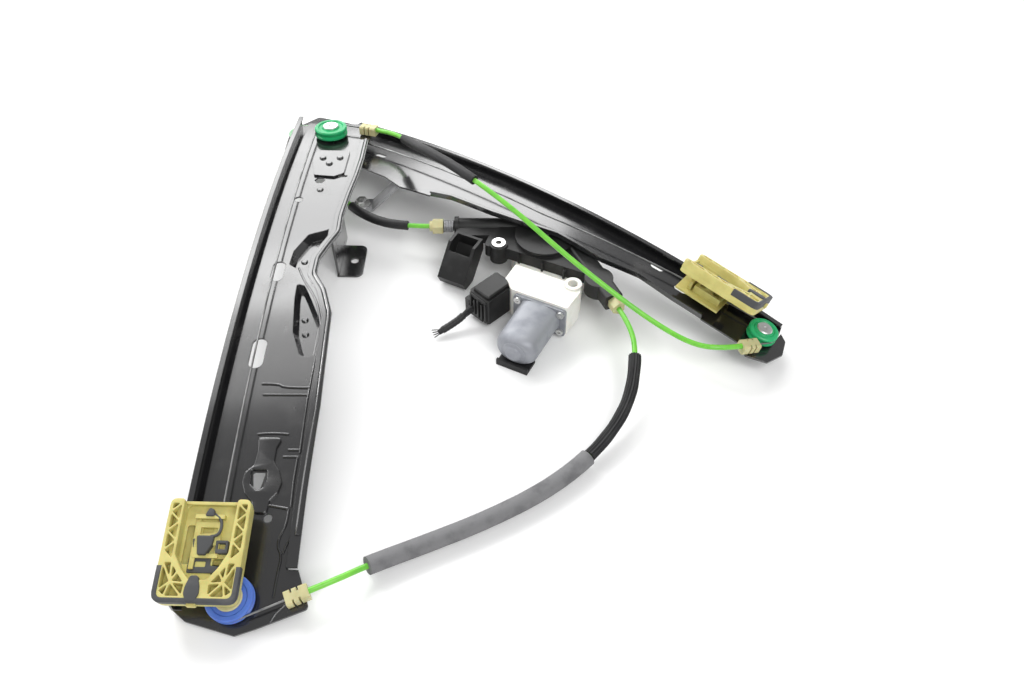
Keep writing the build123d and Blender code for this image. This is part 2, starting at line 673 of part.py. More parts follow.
def make_drum_housing():
    wall = DRUM_WALL
    ring_r = DRUM_FLANGE_R + DRUM_CLEAR + wall
    shell = block(BODY, DRUM_FLOOR_Z, DRUM_TOP_Z - 4, 4.0)
    shell -= block([(x * 0.93, y * 0.9 - 1.2) for x, y in BODY], DRUM_FLOOR_Z, DRUM_TOP_Z - 4 - wall)
    shell += disc(ring_r, DRUM_FLOOR_Z, DRUM_TOP_Z)
    for x in (-32, -12, 12, 34):
        shell += Pos(x, -27, DRUM_FLOOR_Z) * Box(2, 9, 10, align=(Align.CENTER, Align.CENTER, Align.MIN))
    shell += disc(8.5, DRUM_FLOOR_Z - 4, DRUM_TOP_Z - 2, BUSH_X, BUSH_Y)
    shell = DRIVE * shell
    tube_y = DRIVE_Y + DRUM_PATH_R
    shell += Pos((TUBE_X + DRIVE_X) / 2, tube_y, CABLE_Z) * Cylinder(
        TUBE_R, DRIVE_X - TUBE_X, rotation=(0, 90, 0))
    shell += Pos(TUBE_X + 2, tube_y, CABLE_Z) * Cylinder(TUBE_R + 1.5, 4, rotation=(0, 90, 0))
    shell += Pos(TUBE_X + 30, tube_y - 9, 0) * Box(56, 18, 10, align=(
        Align.CENTER, Align.CENTER, Align.MIN)).moved(Pos(0, 0, DRUM_FLOOR_Z + 2))
    arm = Pos(OUTLET_LENGTH / 2 + 6, 0, 0) * Box(OUTLET_LENGTH - 12, 17, 2 * (DRUM_TOP_Z - CABLE_Z) - 1)
    arm = fillet(arm.edges().filter_by(Axis.X), 3)
    lug = Pos(OUTLET_LENGTH - 26, -2, 0) * Cylinder(13, 2 * (DRUM_TOP_Z - CABLE_Z) - 1)
    shell += outlet_frame() * (arm + lug)
    shell += DRIVE * make_leg()
    # drum chamber, cable bores, shaft bore and bolt hole
    shell -= DRIVE * disc(ring_r - wall, DRUM_FLOOR_Z + PLATE_T, DRUM_TOP_Z - PLATE_T)
    shell -= DRIVE * disc(SHAFT_R + RUN_GAP, DRUM_FLOOR_Z - 1, DRUM_TOP_Z + 1)
    shell -= DRIVE * disc(BUSH_R, 0, 60, BUSH_X, BUSH_Y)
    shell -= Pos((TUBE_X + DRIVE_X) / 2 - 1, tube_y, CABLE_Z) * Cylinder(
        TUBE_BORE, DRIVE_X - TUBE_X + 2, rotation=(0, 90, 0))
    shell -= outlet_frame() * Pos(OUTLET_LENGTH / 2, 0, 0) * Cylinder(
        TUBE_BORE, OUTLET_LENGTH + 2, rotation=(0, 90, 0))
    return shell


def make_leg():
    """Sloping hollow leg on the left of the drum housing."""
    side = [(-30, 38), (-30, 26), (-52, LEG_LOW_Z), (-66, LEG_LOW_Z), (-70, 12), (-46, 38)]
    edge = make_face(Polyline(*side, close=True))
    leg = extrude(Plane.YZ * edge, amount=LEG_WIDTH)
    inner = [(-33, 42), (-33, 28), (-53, LEG_LOW_Z + 3), (-64, LEG_LOW_Z + 3), (-66, 13), (-44, 42)]
    pocket = extrude(Plane.YZ * make_face(Polyline(*inner, close=True)), amount=LEG_WIDTH - 6)
    leg -= Pos(3, 0, 0) * pocket
    leg += Pos(LEG_WIDTH / 2, -48, 8) * Box(2, 26, 10)
    return Pos(LEG_X, 0, 0) * leg


def make_gear_housing():
    chamber = WHEEL_R + 1.2
    body = disc(chamber + GEAR_WALL, GEAR_LOW_Z, DRUM_FLOOR_Z)
    body += block([(-20, -20), (-8, -46), (56, -46), (44, 0), (44, 26), (22, 26)], GEAR_LOW_Z, DRUM_FLOOR_Z)
    body += block(BLOCK, GEAR_LOW_Z, BLOCK_TOP_Z, 2.0)
    body += disc(8.0, GEAR_LOW_Z, BLOCK_TOP_Z + 1.5, EYE_X, EYE_Y)
    body -= disc(EYE_R, 0, 60, EYE_X, EYE_Y)
    body -= disc(chamber, GEAR_LOW_Z, DRUM_FLOOR_Z - 1.2)
    body -= disc(SHAFT_R + RUN_GAP, 0, 60)
    body -= rod(WORM_R + 0.9, -50, 23)
    body -= rod(BRUSH_BORE, FLANGE_Y - 1, -50)
    body -= block([(-5, -62), (-5, -48), (16, -48), (16, -62)], GEAR_LOW_Z + 2, BLOCK_TOP_Z - 2)
    for x, z in SCREWS:
        body -= rod(SCREW_R, FLANGE_Y - 1, FLANGE_Y + 12, x, z)
    body -= disc(BUSH_R, 0, 60, BUSH_X, BUSH_Y)
    return DRIVE * body


def make_gear_cover():
    chamber = WHEEL_R + 1.2
    low = GEAR_LOW_Z - COVER_T
    plate = disc(chamber + GEAR_WALL, low, GEAR_LOW_Z)
    plate += block([(-20, -20), (-8, -46), (56, -46), (44, 0), (44, 26), (22, 26)], low, GEAR_LOW_Z)
    plate += block(BLOCK, low, GEAR_LOW_Z, 2.0)
    plate -= disc(EYE_R, -5, 60, EYE_X, EYE_Y)
    plate += disc(8.0, GEAR_LOW_Z, WHEEL_LOW_Z - 1.0) - disc(SHAFT_R + RUN_GAP, GEAR_LOW_Z, 40)
    return DRIVE * plate


def make_worm_wheel():
    points = []
    for i in range(WHEEL_TEETH):
        for share, radius in ((0.0, WHEEL_R - 1.6), (0.3, WHEEL_R - 1.6), (0.42, WHEEL_R), (0.88, WHEEL_R)):
            turn = 2 * math.pi * (i + share) / WHEEL_TEETH
            points.append((radius * math.cos(turn), radius * math.sin(turn)))
    top = WHEEL_LOW_Z + WHEEL_T
    wheel = block(points, WHEEL_LOW_Z, top)
    wheel -= disc(WHEEL_R - 5, WHEEL_LOW_Z + 3, top)
    wheel += disc(7.0, WHEEL_LOW_Z + 3, WHEEL_LOW_Z + 4)
    wheel -= disc(SHAFT_R, 0, 60)
    return DRIVE * wheel


def make_damper():
    low = WHEEL_LOW_Z + 4
    ring = disc(WHEEL_R - 5.2, low, low + 3) - disc(SHAFT_R + 4, low - 1, low + 5)
    for i in range(6):
        turn = math.radians(60 * i)
        ring -= disc(2.4, low - 1, low + 5, 15 * math.cos(turn), 15 * math.sin(turn))
    ring = Pos(0, 0, -1) * ring
    return DRIVE * ring


def make_output_shaft():
    shaft = disc(SHAFT_R, GEAR_LOW_Z, DRUM_TOP_Z - 0.2)
    plate_z = WHEEL_LOW_Z + 6
    shaft += disc(WHEEL_R - 9, plate_z, plate_z + 2)
    return DRIVE * shaft


def make_drum():
    low = DRUM_FLOOR_Z + PLATE_T + 0.6
    groove = DRUM_PATH_R - CABLE_R - CABLE_CLEAR
    middle = CABLE_Z - low
    top = DRUM_H - 1.2
    profile = [(SHAFT_R, 0), (DRUM_FLANGE_R, 0), (DRUM_FLANGE_R, 0.9)]
    for shift in (-2.6, 0.0, 2.6):
        z = middle + shift
        profile += [(groove + 1.1, z - 1.3), (groove, z - 0.6), (groove, z + 0.6)]
    profile += [(groove + 1.1, middle + 3.9), (DRUM_FLANGE_R, top - 0.5), (DRUM_FLANGE_R, top), (16, top),
                (15, top - 3), (9, top - 3), (8, top), (SHAFT_R, top)]
    drum = revolve(Plane.XZ * make_face(Polyline(*profile, close=True)), axis=Axis.Z)
    return DRIVE * Pos(0, 0, low) * drum


def make_drum_bush():
    """Flanged steel bush in the bolt hole of the drum housing."""
    top = DRUM_TOP_Z - 2
    bush = disc(BUSH_R + 3.2, top, top + 1.4) + disc(BUSH_R, DRUM_FLOOR_Z - 4, top)
    bush -= disc(BOLT_R, 0, 60)
    return DRIVE * Pos(BUSH_X, BUSH_Y, 0) * bush


def can_section(shrink):
    square = Rectangle(2 * CAN_R, 2 * (CAN_FLAT - shrink))
    return Circle(CAN_R - shrink) & square


def can_piece(shrink, y0, y1):
    face = Plane(origin=(WORM_X, y1, WORM_Z), x_dir=(1, 0, 0), z_dir=(0, -1, 0)) * can_section(shrink)
    return extrude(face, amount=y1 - y0)


def make_motor_can():
    front = FLANGE_Y - FLANGE_T
    back = front - CAN_LENGTH
    can = can_piece(0, back, front)
    can = fillet(can.faces().sort_by(Axis.Y)[0].edges(), 4.5)
    can += rod(13.0, back - 1.2, back + 2) + rod(8.0, back - 4.0, back)
    can -= can_piece(CAN_WALL, back + CAN_WALL + 1.5, front + 1)
    can -= rod(5.0, back - 2.0, back + 6)
    return DRIVE * can


def make_end_bearing():
    """Sintered bearing in the domed end of the can."""
    back = FLANGE_Y - FLANGE_T - CAN_LENGTH
    return DRIVE * (rod(5.0, back - 2.0, back + 3) - rod(MOTOR_SHAFT_R + RUN_GAP, back - 3, back + 4))


def make_flange():
    plate = Pos(WORM_X, FLANGE_Y - FLANGE_T / 2, WORM_Z) * Box(FLANGE_L, FLANGE_T, FLANGE_H)
    plate = fillet(plate.edges().filter_by(Axis.Y), 3)
    plate -= rod(BRUSH_BORE, FLANGE_Y - 5, FLANGE_Y + 2)
    for x, z in SCREWS:
        plate -= rod(SCREW_R + 0.2, FLANGE_Y - 5, FLANGE_Y + 2, x, z)
    return DRIVE * plate


def make_screws():
    head_y = FLANGE_Y - FLANGE_T
    screws = None
    for x, z in SCREWS:
        screw = rod(SCREW_R, head_y, FLANGE_Y + 11, x, z) + rod(SCREW_HEAD_R, head_y - 2.2, head_y, x, z)
        screw -= rod(1.3, head_y - 3, head_y - 1, x, z)
        screws = screw if screws is None else screws + screw
    return DRIVE * screws


def make_armature():
    back = FLANGE_Y - FLANGE_T - CAN_LENGTH
    y1 = FLANGE_Y - FLANGE_T - 8
    y0 = y1 - ARMATURE_L
    core = rod(ARMATURE_R, y0, y1)
    for i in range(10):
        turn = math.radians(36 * i)
        x = WORM_X + (ARMATURE_R - 1) * math.cos(turn)
        z = WORM_Z + (ARMATURE_R - 1) * math.sin(turn)
        core -= Pos(x, (y0 + y1) / 2, z) * Rot(0, -36 * i, 0) * Box(4, ARMATURE_L + 2, 1.6)
    core -= rod(MOTOR_SHAFT_R, y0 - 1, y1 + 1)
    comm = rod(5.5, y1 + 1.5, y1 + 9) - rod(MOTOR_SHAFT_R, y0, y1 + 10)
    shaft = rod(MOTOR_SHAFT_R, back - 0.8, 22)
    pitch = 2.4
    z = -18.0
    profile = [(0.0, z)]
    while z < 18.0:
        profile += [(WORM_R - 1.7, z), (WORM_R, z + 0.7), (WORM_R, z + 1.3), (WORM_R - 1.7, z + 2.0)]
        z += pitch
    profile += [(0.0, z)]
    worm = revolve(Plane.XY * make_face(Polyline(*profile, close=True)), axis=Axis.Y)
    shaft += Pos(WORM_X, 0, WORM_Z) * worm
    return DRIVE * core, DRIVE * comm, DRIVE * shaft


def make_magnets():
    front = FLANGE_Y - FLANGE_T
    y0, y1 = front - 38, front - 6
    ring = rod(CAN_R - CAN_WALL, y0, y1) - rod(CAN_R - CAN_WALL - MAGNET_T, y0 - 1, y1 + 1)
    keep = Pos(WORM_X, (y0 + y1) / 2, WORM_Z) * Box(60, 60, 17)
    return DRIVE * (ring & keep)


def make_brush_holder():
    y1 = FLANGE_Y - FLANGE_T + 1
    ring = rod(BRUSH_BORE - RUN_GAP, y1, y1 + 4) - rod(7.0, y1 - 1, y1 + 6)
    for side in (-1, 1):
        ring += Pos(WORM_X + side * 7.6, y1 + 2, WORM_Z) * Box(3.6, 4, 4)
    return DRIVE * ring


def make_rubber_foot():
    back = FLANGE_Y - FLANGE_T - CAN_LENGTH
    pad = Pos(WORM_X, back + 5, 0) * Box(30, 15, WORM_Z - CAN_FLAT, align=(
        Align.CENTER, Align.CENTER, Align.MIN))
    lip = Pos(WORM_X, back - 3.2, 0) * Box(30, 2.4, WORM_Z - CAN_FLAT + 3.5, align=(
        Align.CENTER, Align.CENTER, Align.MIN))
    return DRIVE * (pad + lip)


def make_connector():
    place = Pos(CONNECTOR_X, CONNECTOR_Y, 0) * Rot(0, 0, CONNECTOR_TURN)
    low = (Align.CENTER, Align.CENTER, Align.MIN)
    body = Pos(0, 0, CONNECTOR_LOW) * Box(24, 34, CONNECTOR_H, align=low)
    body = chamfer(body.edges().filter_by(Axis.Z), 1.5)
    body += Pos(-6, -10, CONNECTOR_LOW) * Box(22, 16, CONNECTOR_H - 12, align=low)
    body -= Pos(0, 0, CONNECTOR_LOW + CONNECTOR_H - 6) * Box(17, 24, 20, align=low)
    body -= Pos(-4, -24, CONNECTOR_LOW + 5) * Box(16, 20, 12, align=low)
    lid = Pos(0, 0, CONNECTOR_LOW + CONNECTOR_H) * Box(20, 29, 3.5, align=low)
    lid = fillet(lid.edges().filter_by(Axis.Z), 2)
    lid = chamfer(lid.faces().sort_by(Axis.Z)[-1].edges(), 1.0)
    lid += Pos(0, 0, CONNECTOR_LOW + CONNECTOR_H - 5) * Box(16.6, 23.6, 5, align=low)
    gear = block([(x, y) for x, y in BLOCK], 0, 60)
    return DRIVE * (place * body - gear), DRIVE * (place * lid - gear)


def make_ferrules():
    tube_y = DRIVE_Y + DRUM_PATH_R
    hexagon = extrude(RegularPolygon(FERRULE_R, 6), amount=FERRULE_L)
    ferrule = hexagon + Cylinder(5.0, 3.0, align=(Align.CENTER, Align.CENTER, Align.MAX))
    ferrule -= Cylinder(CABLE_R * 2, FERRULE_L * 3)
    ferrule -= Cylinder(CONDUIT_R + SOCKET_GAP, FIT_SOCKET * 2)
    return Pos(FERRULE_A_X, tube_y, CABLE_Z) * Rot(0, 90, 0) * ferrule


def make_spring():
    """Cable tension spring between the ferrule and the tube mouth."""
    start = FERRULE_A_X + FERRULE_L
    length = TUBE_X - start
    coils = 5
    profile = [(SPRING_R - 2.2, 0)]
    for i in range(coils):
        z = length * i / coils
        profile += [(SPRING_R - 0.9, z), (SPRING_R, z + length / coils * 0.3),
                    (SPRING_R, z + length / coils * 0.6), (SPRING_R - 0.9, z + length / coils * 0.95)]
    profile += [(SPRING_R - 2.2, length)]
    body = revolve(Plane.XZ * make_face(Polyline(*profile, close=True)), axis=Axis.Z)
    return Pos(start, DRIVE_Y + DRUM_PATH_R, CABLE_Z) * Rot(0, 90, 0) * body


def make_ferrule_b():
    hexagon = extrude(RegularPolygon(6.4, 6), amount=FERRULE_B_L)
    hexagon -= Cylinder(CABLE_R * 2, FERRULE_B_L * 3)
    hexagon -= Pos(0, 0, FERRULE_B_L) * Cylinder(CONDUIT_R + SOCKET_GAP, FIT_SOCKET * 2)
    return outlet_frame() * Pos(OUTLET_LENGTH, 0, 0) * Rot(0, 90, 0) * hexagon


def make_drum_cables():
    tube_y = DRIVE_Y + DRUM_PATH_R
    end = FERRULE_A_X + FIT_SOCKET
    lead_a = Pos((end + DRIVE_X) / 2, tube_y, CABLE_Z) * Cylinder(CABLE_R, DRIVE_X - end, rotation=(0, 90, 0))
    reach = OUTLET_LENGTH + FERRULE_B_L - FIT_SOCKET
    lead_b = outlet_frame() * Pos(reach / 2, 0, 0) * Cylinder(CABLE_R, reach, rotation=(0, 90, 0))
    return Compound([lead_a, lead_b])


# Carriers

def frame_outline(grow=0.0):
    half = CARRIER_LENGTH / 2
    w0, w1 = FRAME_W0 - grow, FRAME_W0 + CARRIER_WIDTH + grow
    points = [(w0, half), (w1, half), (w1, -half - grow), (w0, -half - grow)]
    return soft(points, 7 + grow)


def make_frame(tilt):
    """U-shaped glass holder: ribbed arms round an open middle, joined at the bottom."""
    half = CARRIER_LENGTH / 2
    w0, w1 = FRAME_W0, FRAME_W0 + CARRIER_WIDTH
    a0, a1 = w0 + ARM_WIDTH, w1 - ARM_WIDTH
    body = extrude(frame_outline(), amount=FRAME_T)
    mouth = [(a0, half - 2.2), (a1, half - 2.2), (a1, -6), (a1 - 5, -19), (a0 + 5, -19), (a0, -6)]
    body -= Pos(0, 0, -1) * extrude(soft(mouth, 2.5), amount=FRAME_T + 2)
    body -= Pos((a0 + a1) / 2, half, FRAME_T) * Box(a1 - a0, 10, 2 * FRAME_T - 9)
    rib = ARM_RIB
    pockets = None
    for near, far in ((w0 + rib, a0 - rib), (a1 + rib, w1 - rib)):
        pocket = Pos((near + far) / 2, 12.5, FRAME_FLOOR) * Box(
            far - near, 2 * (half - 12.5 - rib) , FRAME_T, align=(Align.CENTER, Align.CENTER, Align.MIN))
        pockets = pocket if pockets is None else pockets + pocket
    low = [(w0 + rib, -14.5), (a0 - rib, -14.5), (a0 + 3, -22), (a1 - 3, -22), (a1 + rib, -14.5),
           (w1 - rib, -14.5), (w1 - rib, -half + 7), (w1 - 7, -half + rib), (w0 + 7, -half + rib),
           (w0 + rib, -half + 7)]
    pockets += Pos(0, 0, FRAME_FLOOR) * extrude(soft(low, 0), amount=FRAME_T)
    ribs = None
    for near, far in ((w0, a0), (a1, w1)):
        middle = (near + far) / 2
        for i in range(4):
            y = half - 9 - i * 11.5
            turn = 40 if i % 2 else -40
            bar = Pos(middle, y, 0) * Rot(0, 0, turn) * Box(
                26, 1.8, FRAME_T - 1.0, align=(Align.CENTER, Align.CENTER, Align.MIN))
            ribs = bar if ribs is None else ribs + bar
    centre = (w0 + w1) / 2
    for x, turn in ((w0 + 12, 55), (w0 + 18, -50), (w1 - 12, -55), (w1 - 18, 50)):
        ribs += Pos(x, -27, 0) * Rot(0, 0, turn) * Box(30, 1.8, FRAME_T - 1.0, align=(
            Align.CENTER, Align.CENTER, Align.MIN))
    tongue = Pos(centre, -half + 9, 0) * Cylinder(TONGUE_R + 2, FRAME_T, align=(
        Align.CENTER, Align.CENTER, Align.MIN))
    body = body - (pockets - ribs - tongue)
    pin_z = PIVOT_N - FRAME_N0
    pin = Pos(PIVOT_W, (SLIDER_LOW + SLIDER_HIGH) / 2, pin_z)
    body += pin * Cylinder(PIVOT_R + 2.2, PIVOT_LENGTH - 16, rotation=(90, 0, 0))
    body -= pin * Cylinder(PIVOT_R + RUN_GAP, PIVOT_LENGTH + 1, rotation=(90, 0, 0))
    for y in TOWERS:
        body -= Pos(PIVOT_W + 0.5, y, -1) * Box(12.6, TOWER_T + 1.2, FRAME_T - 0.5, align=(
            Align.CENTER, Align.CENTER, Align.MIN))
    body = Pos(0, 0, FRAME_N0) * body
    return tilted(body, tilt)


def tilted(shape, tilt):
    """Turns the glass holder about its pivot bar; the inner side rises."""
    return Pos(PIVOT_W, 0, PIVOT_N) * Rot(0, -tilt, 0) * Pos(-PIVOT_W, 0, -PIVOT_N) * shape


def make_trim(tilt):
    """Rubber trim round the lower end of the glass holder, with its tongue."""
    half = CARRIER_LENGTH / 2
    ring = extrude(frame_outline(TRIM_T), amount=FRAME_T - 1.5) - extrude(frame_outline(), amount=FRAME_T)
    ring &= Pos(FRAME_W0 + CARRIER_WIDTH / 2, -half - 10, 0) * Box(
        CARRIER_WIDTH + 20, 80, 60)
    centre = FRAME_W0 + CARRIER_WIDTH / 2
    tongue = Pos(centre, -half + 9, FRAME_T - 0.75) * Cylinder(TONGUE_R, 1.6, align=(
        Align.CENTER, Align.CENTER, Align.MIN))
    tongue += Pos(centre, -half + 1, FRAME_T - 0.75) * Box(TONGUE_R * 1.2, 8, 1.6, align=(
        Align.CENTER, Align.CENTER, Align.MIN))
    ring = Pos(0, 0, 0.75) * ring + tongue
    ring += Pos(centre, -half - TRIM_T / 2, FRAME_T - 2) * Box(TONGUE_R * 1.2, TRIM_T, 3)
    ring -= extrude(frame_outline(), amount=FRAME_T)
    return tilted(Pos(0, 0, FRAME_N0) * ring, tilt)


def make_slider():
    """Guide shoe that clips round the rail flange, with the pivot bar and cable block."""
    gap = GUIDE_GAP
    inner_n = GUIDE_RISE - SHEET - 2 * BOW_GAP
    hook_w = CHANNEL_WIDTH - gap
    section = [
        (-FOOT_OUT, -2), (-gap, -2), (-gap, GUIDE_RISE + gap), (GUIDE_LIP + gap, GUIDE_RISE + gap),
        (GUIDE_LIP + gap, inner_n), (SHEET + gap, inner_n), (SHEET + gap, -CHANNEL_DEPTH + gap),
        (hook_w, -CHANNEL_DEPTH + gap), (hook_w, 3), (CHANNEL_WIDTH + SHEET + 1, 4),
        (CHANNEL_WIDTH + SHEET + 1, SLIDER_N), (-FOOT_OUT, SLIDER_N)]
    foot = extrude(Plane.XZ * make_face(Polyline(*section, close=True)), amount=-FOOT_LENGTH)
    body = Pos(0, SLIDER_LOW, 0) * foot + Pos(0, SLIDER_HIGH - FOOT_LENGTH, 0) * foot
    span = SLIDER_HIGH - SLIDER_LOW
    low = (Align.MIN, Align.MIN, Align.MAX)
    body += Pos(-FOOT_OUT, SLIDER_LOW, SLIDER_N) * Box(SLIDER_WIDTH + FOOT_OUT, span, SLIDER_T, align=low)
    for y in TOWERS:
        body += Pos(PIVOT_W, y, SLIDER_N) * Box(6, TOWER_T, PIVOT_N - SLIDER_N, align=(
            Align.CENTER, Align.CENTER, Align.MIN))
    bar_y = (SLIDER_LOW + SLIDER_HIGH) / 2
    body += Pos(PIVOT_W, bar_y, PIVOT_N) * Cylinder(PIVOT_R, PIVOT_LENGTH, rotation=(90, 0, 0))
    up = (Align.MIN, Align.MIN, Align.MIN)
    body += Pos(15, -4, SLIDER_N) * Box(18, 26, 7, align=up)
    body -= Pos(24.5, -1, SLIDER_N + 2) * Box(6, 6, 10, align=up)
    body -= Pos(18, 13, SLIDER_N + 3) * Box(12, 5, 10, align=up)
    body += Pos(13, 24, SLIDER_N) * Box(21, 3, 9, align=up)
    return body


def make_latch():
    up = (Align.MIN, Align.MIN, Align.MIN)
    top = SLIDER_N + 7
    latch = Pos(16, -9, top) * Box(6.5, 15.5, 5.5, align=up)
    latch = chamfer(latch.faces().sort_by(Axis.Z)[-1].edges(), 1.2)
    latch += Pos(15, -9, SLIDER_N) * Box(16, 5, 8, align=up)
    latch -= Pos(20, -8, SLIDER_N + 2) * Box(6, 3, 8, align=up)
    return latch


def make_hook():
    top = SLIDER_N + 7 + 1.2
    route = FilletPolyline((18.5, 20, top), (27.5, 19, top), (29.0, 9.5, top), (24.5, 7.3, top), radius=2.4)
    return tube(route, 1.2) + Pos(18.5, 20, top - 1.2) * Cylinder(3.0, 3.4, align=(
        Align.CENTER, Align.CENTER, Align.MIN))


def make_carrier(rail, name, along, tilt):
    place = rail.spot(along)
    save(rail.seat(place * make_slider()), name + "_slider")
    save(rail.seat(place * make_frame(tilt)), name + "_glass_holder")
    save(rail.seat(place * make_trim(tilt)), name + "_trim")
    save(rail.seat(place * (make_latch() + make_hook())), name + "_latch")


def make_harness():
    local = [(-27, -93, 17), (-30, -104, 13), (-36, -114, 8), (-44, -127, 5)]
    points = [tuple((DRIVE * Pos(*p)).position) for p in local]
    conduit("harness", points, HARNESS_R)


# Build
save(make_rail_1(), "rail_1")
save(make_rail_2(), "rail_2")
save(make_plate(), "rail_1_plate")
save(make_foot(), "rail_1_foot")
save(make_strap(), "rail_2_strap")
save(make_weld_nut(), "weld_nut")
PULLEYS = (
    (RAIL_1, PULLEY_1_TOP, PULLEY_1_R, "pulley_1_upper", RIVET_HEAD_R),
    (RAIL_1, PULLEY_1_LOW, PULLEY_1_LOW_R, "pulley_1_lower", RIVET_HEAD_R + 2),
    (RAIL_2, PULLEY_2_TOP, PULLEY_2_R, "pulley_2_upper", RIVET_HEAD_R),
    (RAIL_2, PULLEY_2_LOW, PULLEY_2_LOW_R, "pulley_2_lower", RIVET_HEAD_R - 1),
)
for rail, place, radius, name, head in PULLEYS:
    save(make_pulley(rail, place, radius), name)
    save(make_rivet(rail, place, head), name + "_rivet")
make_conduits()
save(make_drum_housing(), "drum_housing")
save(make_drum(), "drum")
save(make_drum_bush(), "drum_bush")
save(make_gear_housing(), "gear_housing")
save(make_gear_cover(), "gear_cover")
save(make_worm_wheel(), "worm_wheel")
save(make_damper(), "damper")
save(make_output_shaft(), "output_shaft")
save(make_motor_can(), "motor_can")
save(make_end_bearing(), "end_bearing")
save(make_flange(), "motor_flange")
save(make_screws(), "motor_screws")
core, comm, shaft = make_armature()
save(core, "armature")
save(comm, "commutator")
save(shaft, "worm_shaft")
save(make_magnets(), "magnets")
save(make_brush_holder(), "brush_holder")
save(make_rubber_foot(), "rubber_foot")
connector, lid = make_connector()
save(connector, "connector")
save(lid, "connector_lid")
save(make_ferrules(), "ferrule_a")
save(make_spring(), "tension_spring")
save(make_ferrule_b(), "ferrule_b")
save(make_drum_cables(), "cable_ends")
make_harness()
make_carrier(RAIL_1, "carrier_1", PULLEY_1_LOW[0] - PARK_1, TILT_1)
make_carrier(RAIL_2, "carrier_2", PULLEY_2_LOW[0] - PARK_2, TILT_2)
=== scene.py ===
import json
import math

import bmesh
import bpy
from mathutils import Matrix, Vector


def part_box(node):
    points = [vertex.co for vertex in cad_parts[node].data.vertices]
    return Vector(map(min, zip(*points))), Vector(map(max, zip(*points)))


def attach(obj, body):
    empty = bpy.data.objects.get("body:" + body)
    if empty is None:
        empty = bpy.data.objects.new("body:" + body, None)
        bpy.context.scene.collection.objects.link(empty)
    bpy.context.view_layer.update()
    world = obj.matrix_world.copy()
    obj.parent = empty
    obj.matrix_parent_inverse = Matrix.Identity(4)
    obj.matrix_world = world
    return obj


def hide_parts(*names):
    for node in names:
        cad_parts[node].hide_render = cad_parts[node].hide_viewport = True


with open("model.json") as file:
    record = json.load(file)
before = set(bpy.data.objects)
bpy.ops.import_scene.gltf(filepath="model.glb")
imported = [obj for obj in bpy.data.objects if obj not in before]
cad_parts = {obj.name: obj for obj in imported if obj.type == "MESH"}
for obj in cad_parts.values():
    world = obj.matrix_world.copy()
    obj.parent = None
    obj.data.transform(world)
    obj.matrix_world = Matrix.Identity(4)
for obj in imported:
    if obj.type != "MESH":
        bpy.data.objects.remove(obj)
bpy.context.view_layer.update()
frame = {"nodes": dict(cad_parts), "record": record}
nodes = frame["nodes"]

MM = 0.001
# Routes and places below are in the rails' drawing frame; the part's origin lies under its middle.
ORIGIN = Vector((4.33, -13.27, 0.0))
TO_METRES = Matrix.Scale(MM, 4)


def place(x, y, z):
    """Point of the drawing frame, in mm, as a point of the part, in metres."""
    return (Vector((x, y, z)) + ORIGIN) * MM


def in_scene(name, data):
    """New object with the given data, linked to the scene."""
    piece = bpy.data.objects.new(name, data)
    bpy.context.scene.collection.objects.link(piece)
    return piece


# ---------------------------------------------------------------- camera, floor and light

SENSOR = 36.0
FOCAL_PX = 950.0
FRAME_PX = 1024.0
EYE = (0, -600, 625)
LOOK_DOWN = 47.0
FLOOR_HALF = 6.0
PAPER_WHITE = 0.93
SKY = 0.42
LAMPS = (
    # name, place in metres, width, height, power in watts; each points at the part
    ("back", (-0.5, 1.9, 1.35), 2.2, 1.5, 42.0),
    ("high", (-0.5, 1.5, 2.1), 2.2, 1.1, 13.0),
    ("glint", (-1.3, 0.9, 1.5), 0.35, 0.35, 8.0),
    ("left", (-1.9, 0.1, 0.9), 1.2, 1.2, 12.0),
    ("front", (0.7, -1.3, 1.7), 1.3, 1.3, 27.0),
)


def studio():
    lens = bpy.data.cameras.new("camera")
    lens.sensor_width = SENSOR
    lens.lens = SENSOR * FOCAL_PX / FRAME_PX
    lens.clip_end = 20.0
    eye = in_scene("camera", lens)
    eye.location = place(*EYE)
    eye.rotation_euler = (math.radians(90.0 - LOOK_DOWN), 0, 0)
    bpy.context.scene.camera = eye

    floor = bpy.data.meshes.new("floor")
    corners = [(x * FLOOR_HALF, y * FLOOR_HALF, 0) for x, y in ((-1, -1), (1, -1), (1, 1), (-1, 1))]
    floor.from_pydata(corners, [], [(0, 1, 2, 3)])
    ground = in_scene("floor", floor)
    paper = bpy.data.materials.new("white paper")
    paper.use_nodes = True
    sheet = paper.node_tree.nodes["Principled BSDF"]
    sheet.inputs["Base Color"].default_value = (PAPER_WHITE, PAPER_WHITE, PAPER_WHITE, 1)
    sheet.inputs["Roughness"].default_value = 0.9
    sheet.inputs["Specular IOR Level"].default_value = 0.1
    floor.materials.append(paper)

    for name, spot, width, height, power in LAMPS:
        light = bpy.data.lights.new(name, "AREA")
        light.shape = "RECTANGLE"
        light.size = width
        light.size_y = height
        light.energy = power
        lamp = in_scene(name, light)
        lamp.location = spot
        lamp.rotation_euler = (-Vector(spot)).to_track_quat("-Z", "Y").to_euler()
    world = bpy.data.worlds.new("studio")
    world.use_nodes = True
    sky = world.node_tree.nodes["Background"]
    sky.inputs["Color"].default_value = (1, 1, 1, 1)
    sky.inputs["Strength"].default_value = SKY
    bpy.context.scene.world = world
    bpy.context.scene.view_settings.view_transform = "Standard"


studio()


# ---------------------------------------------------------------- finishes

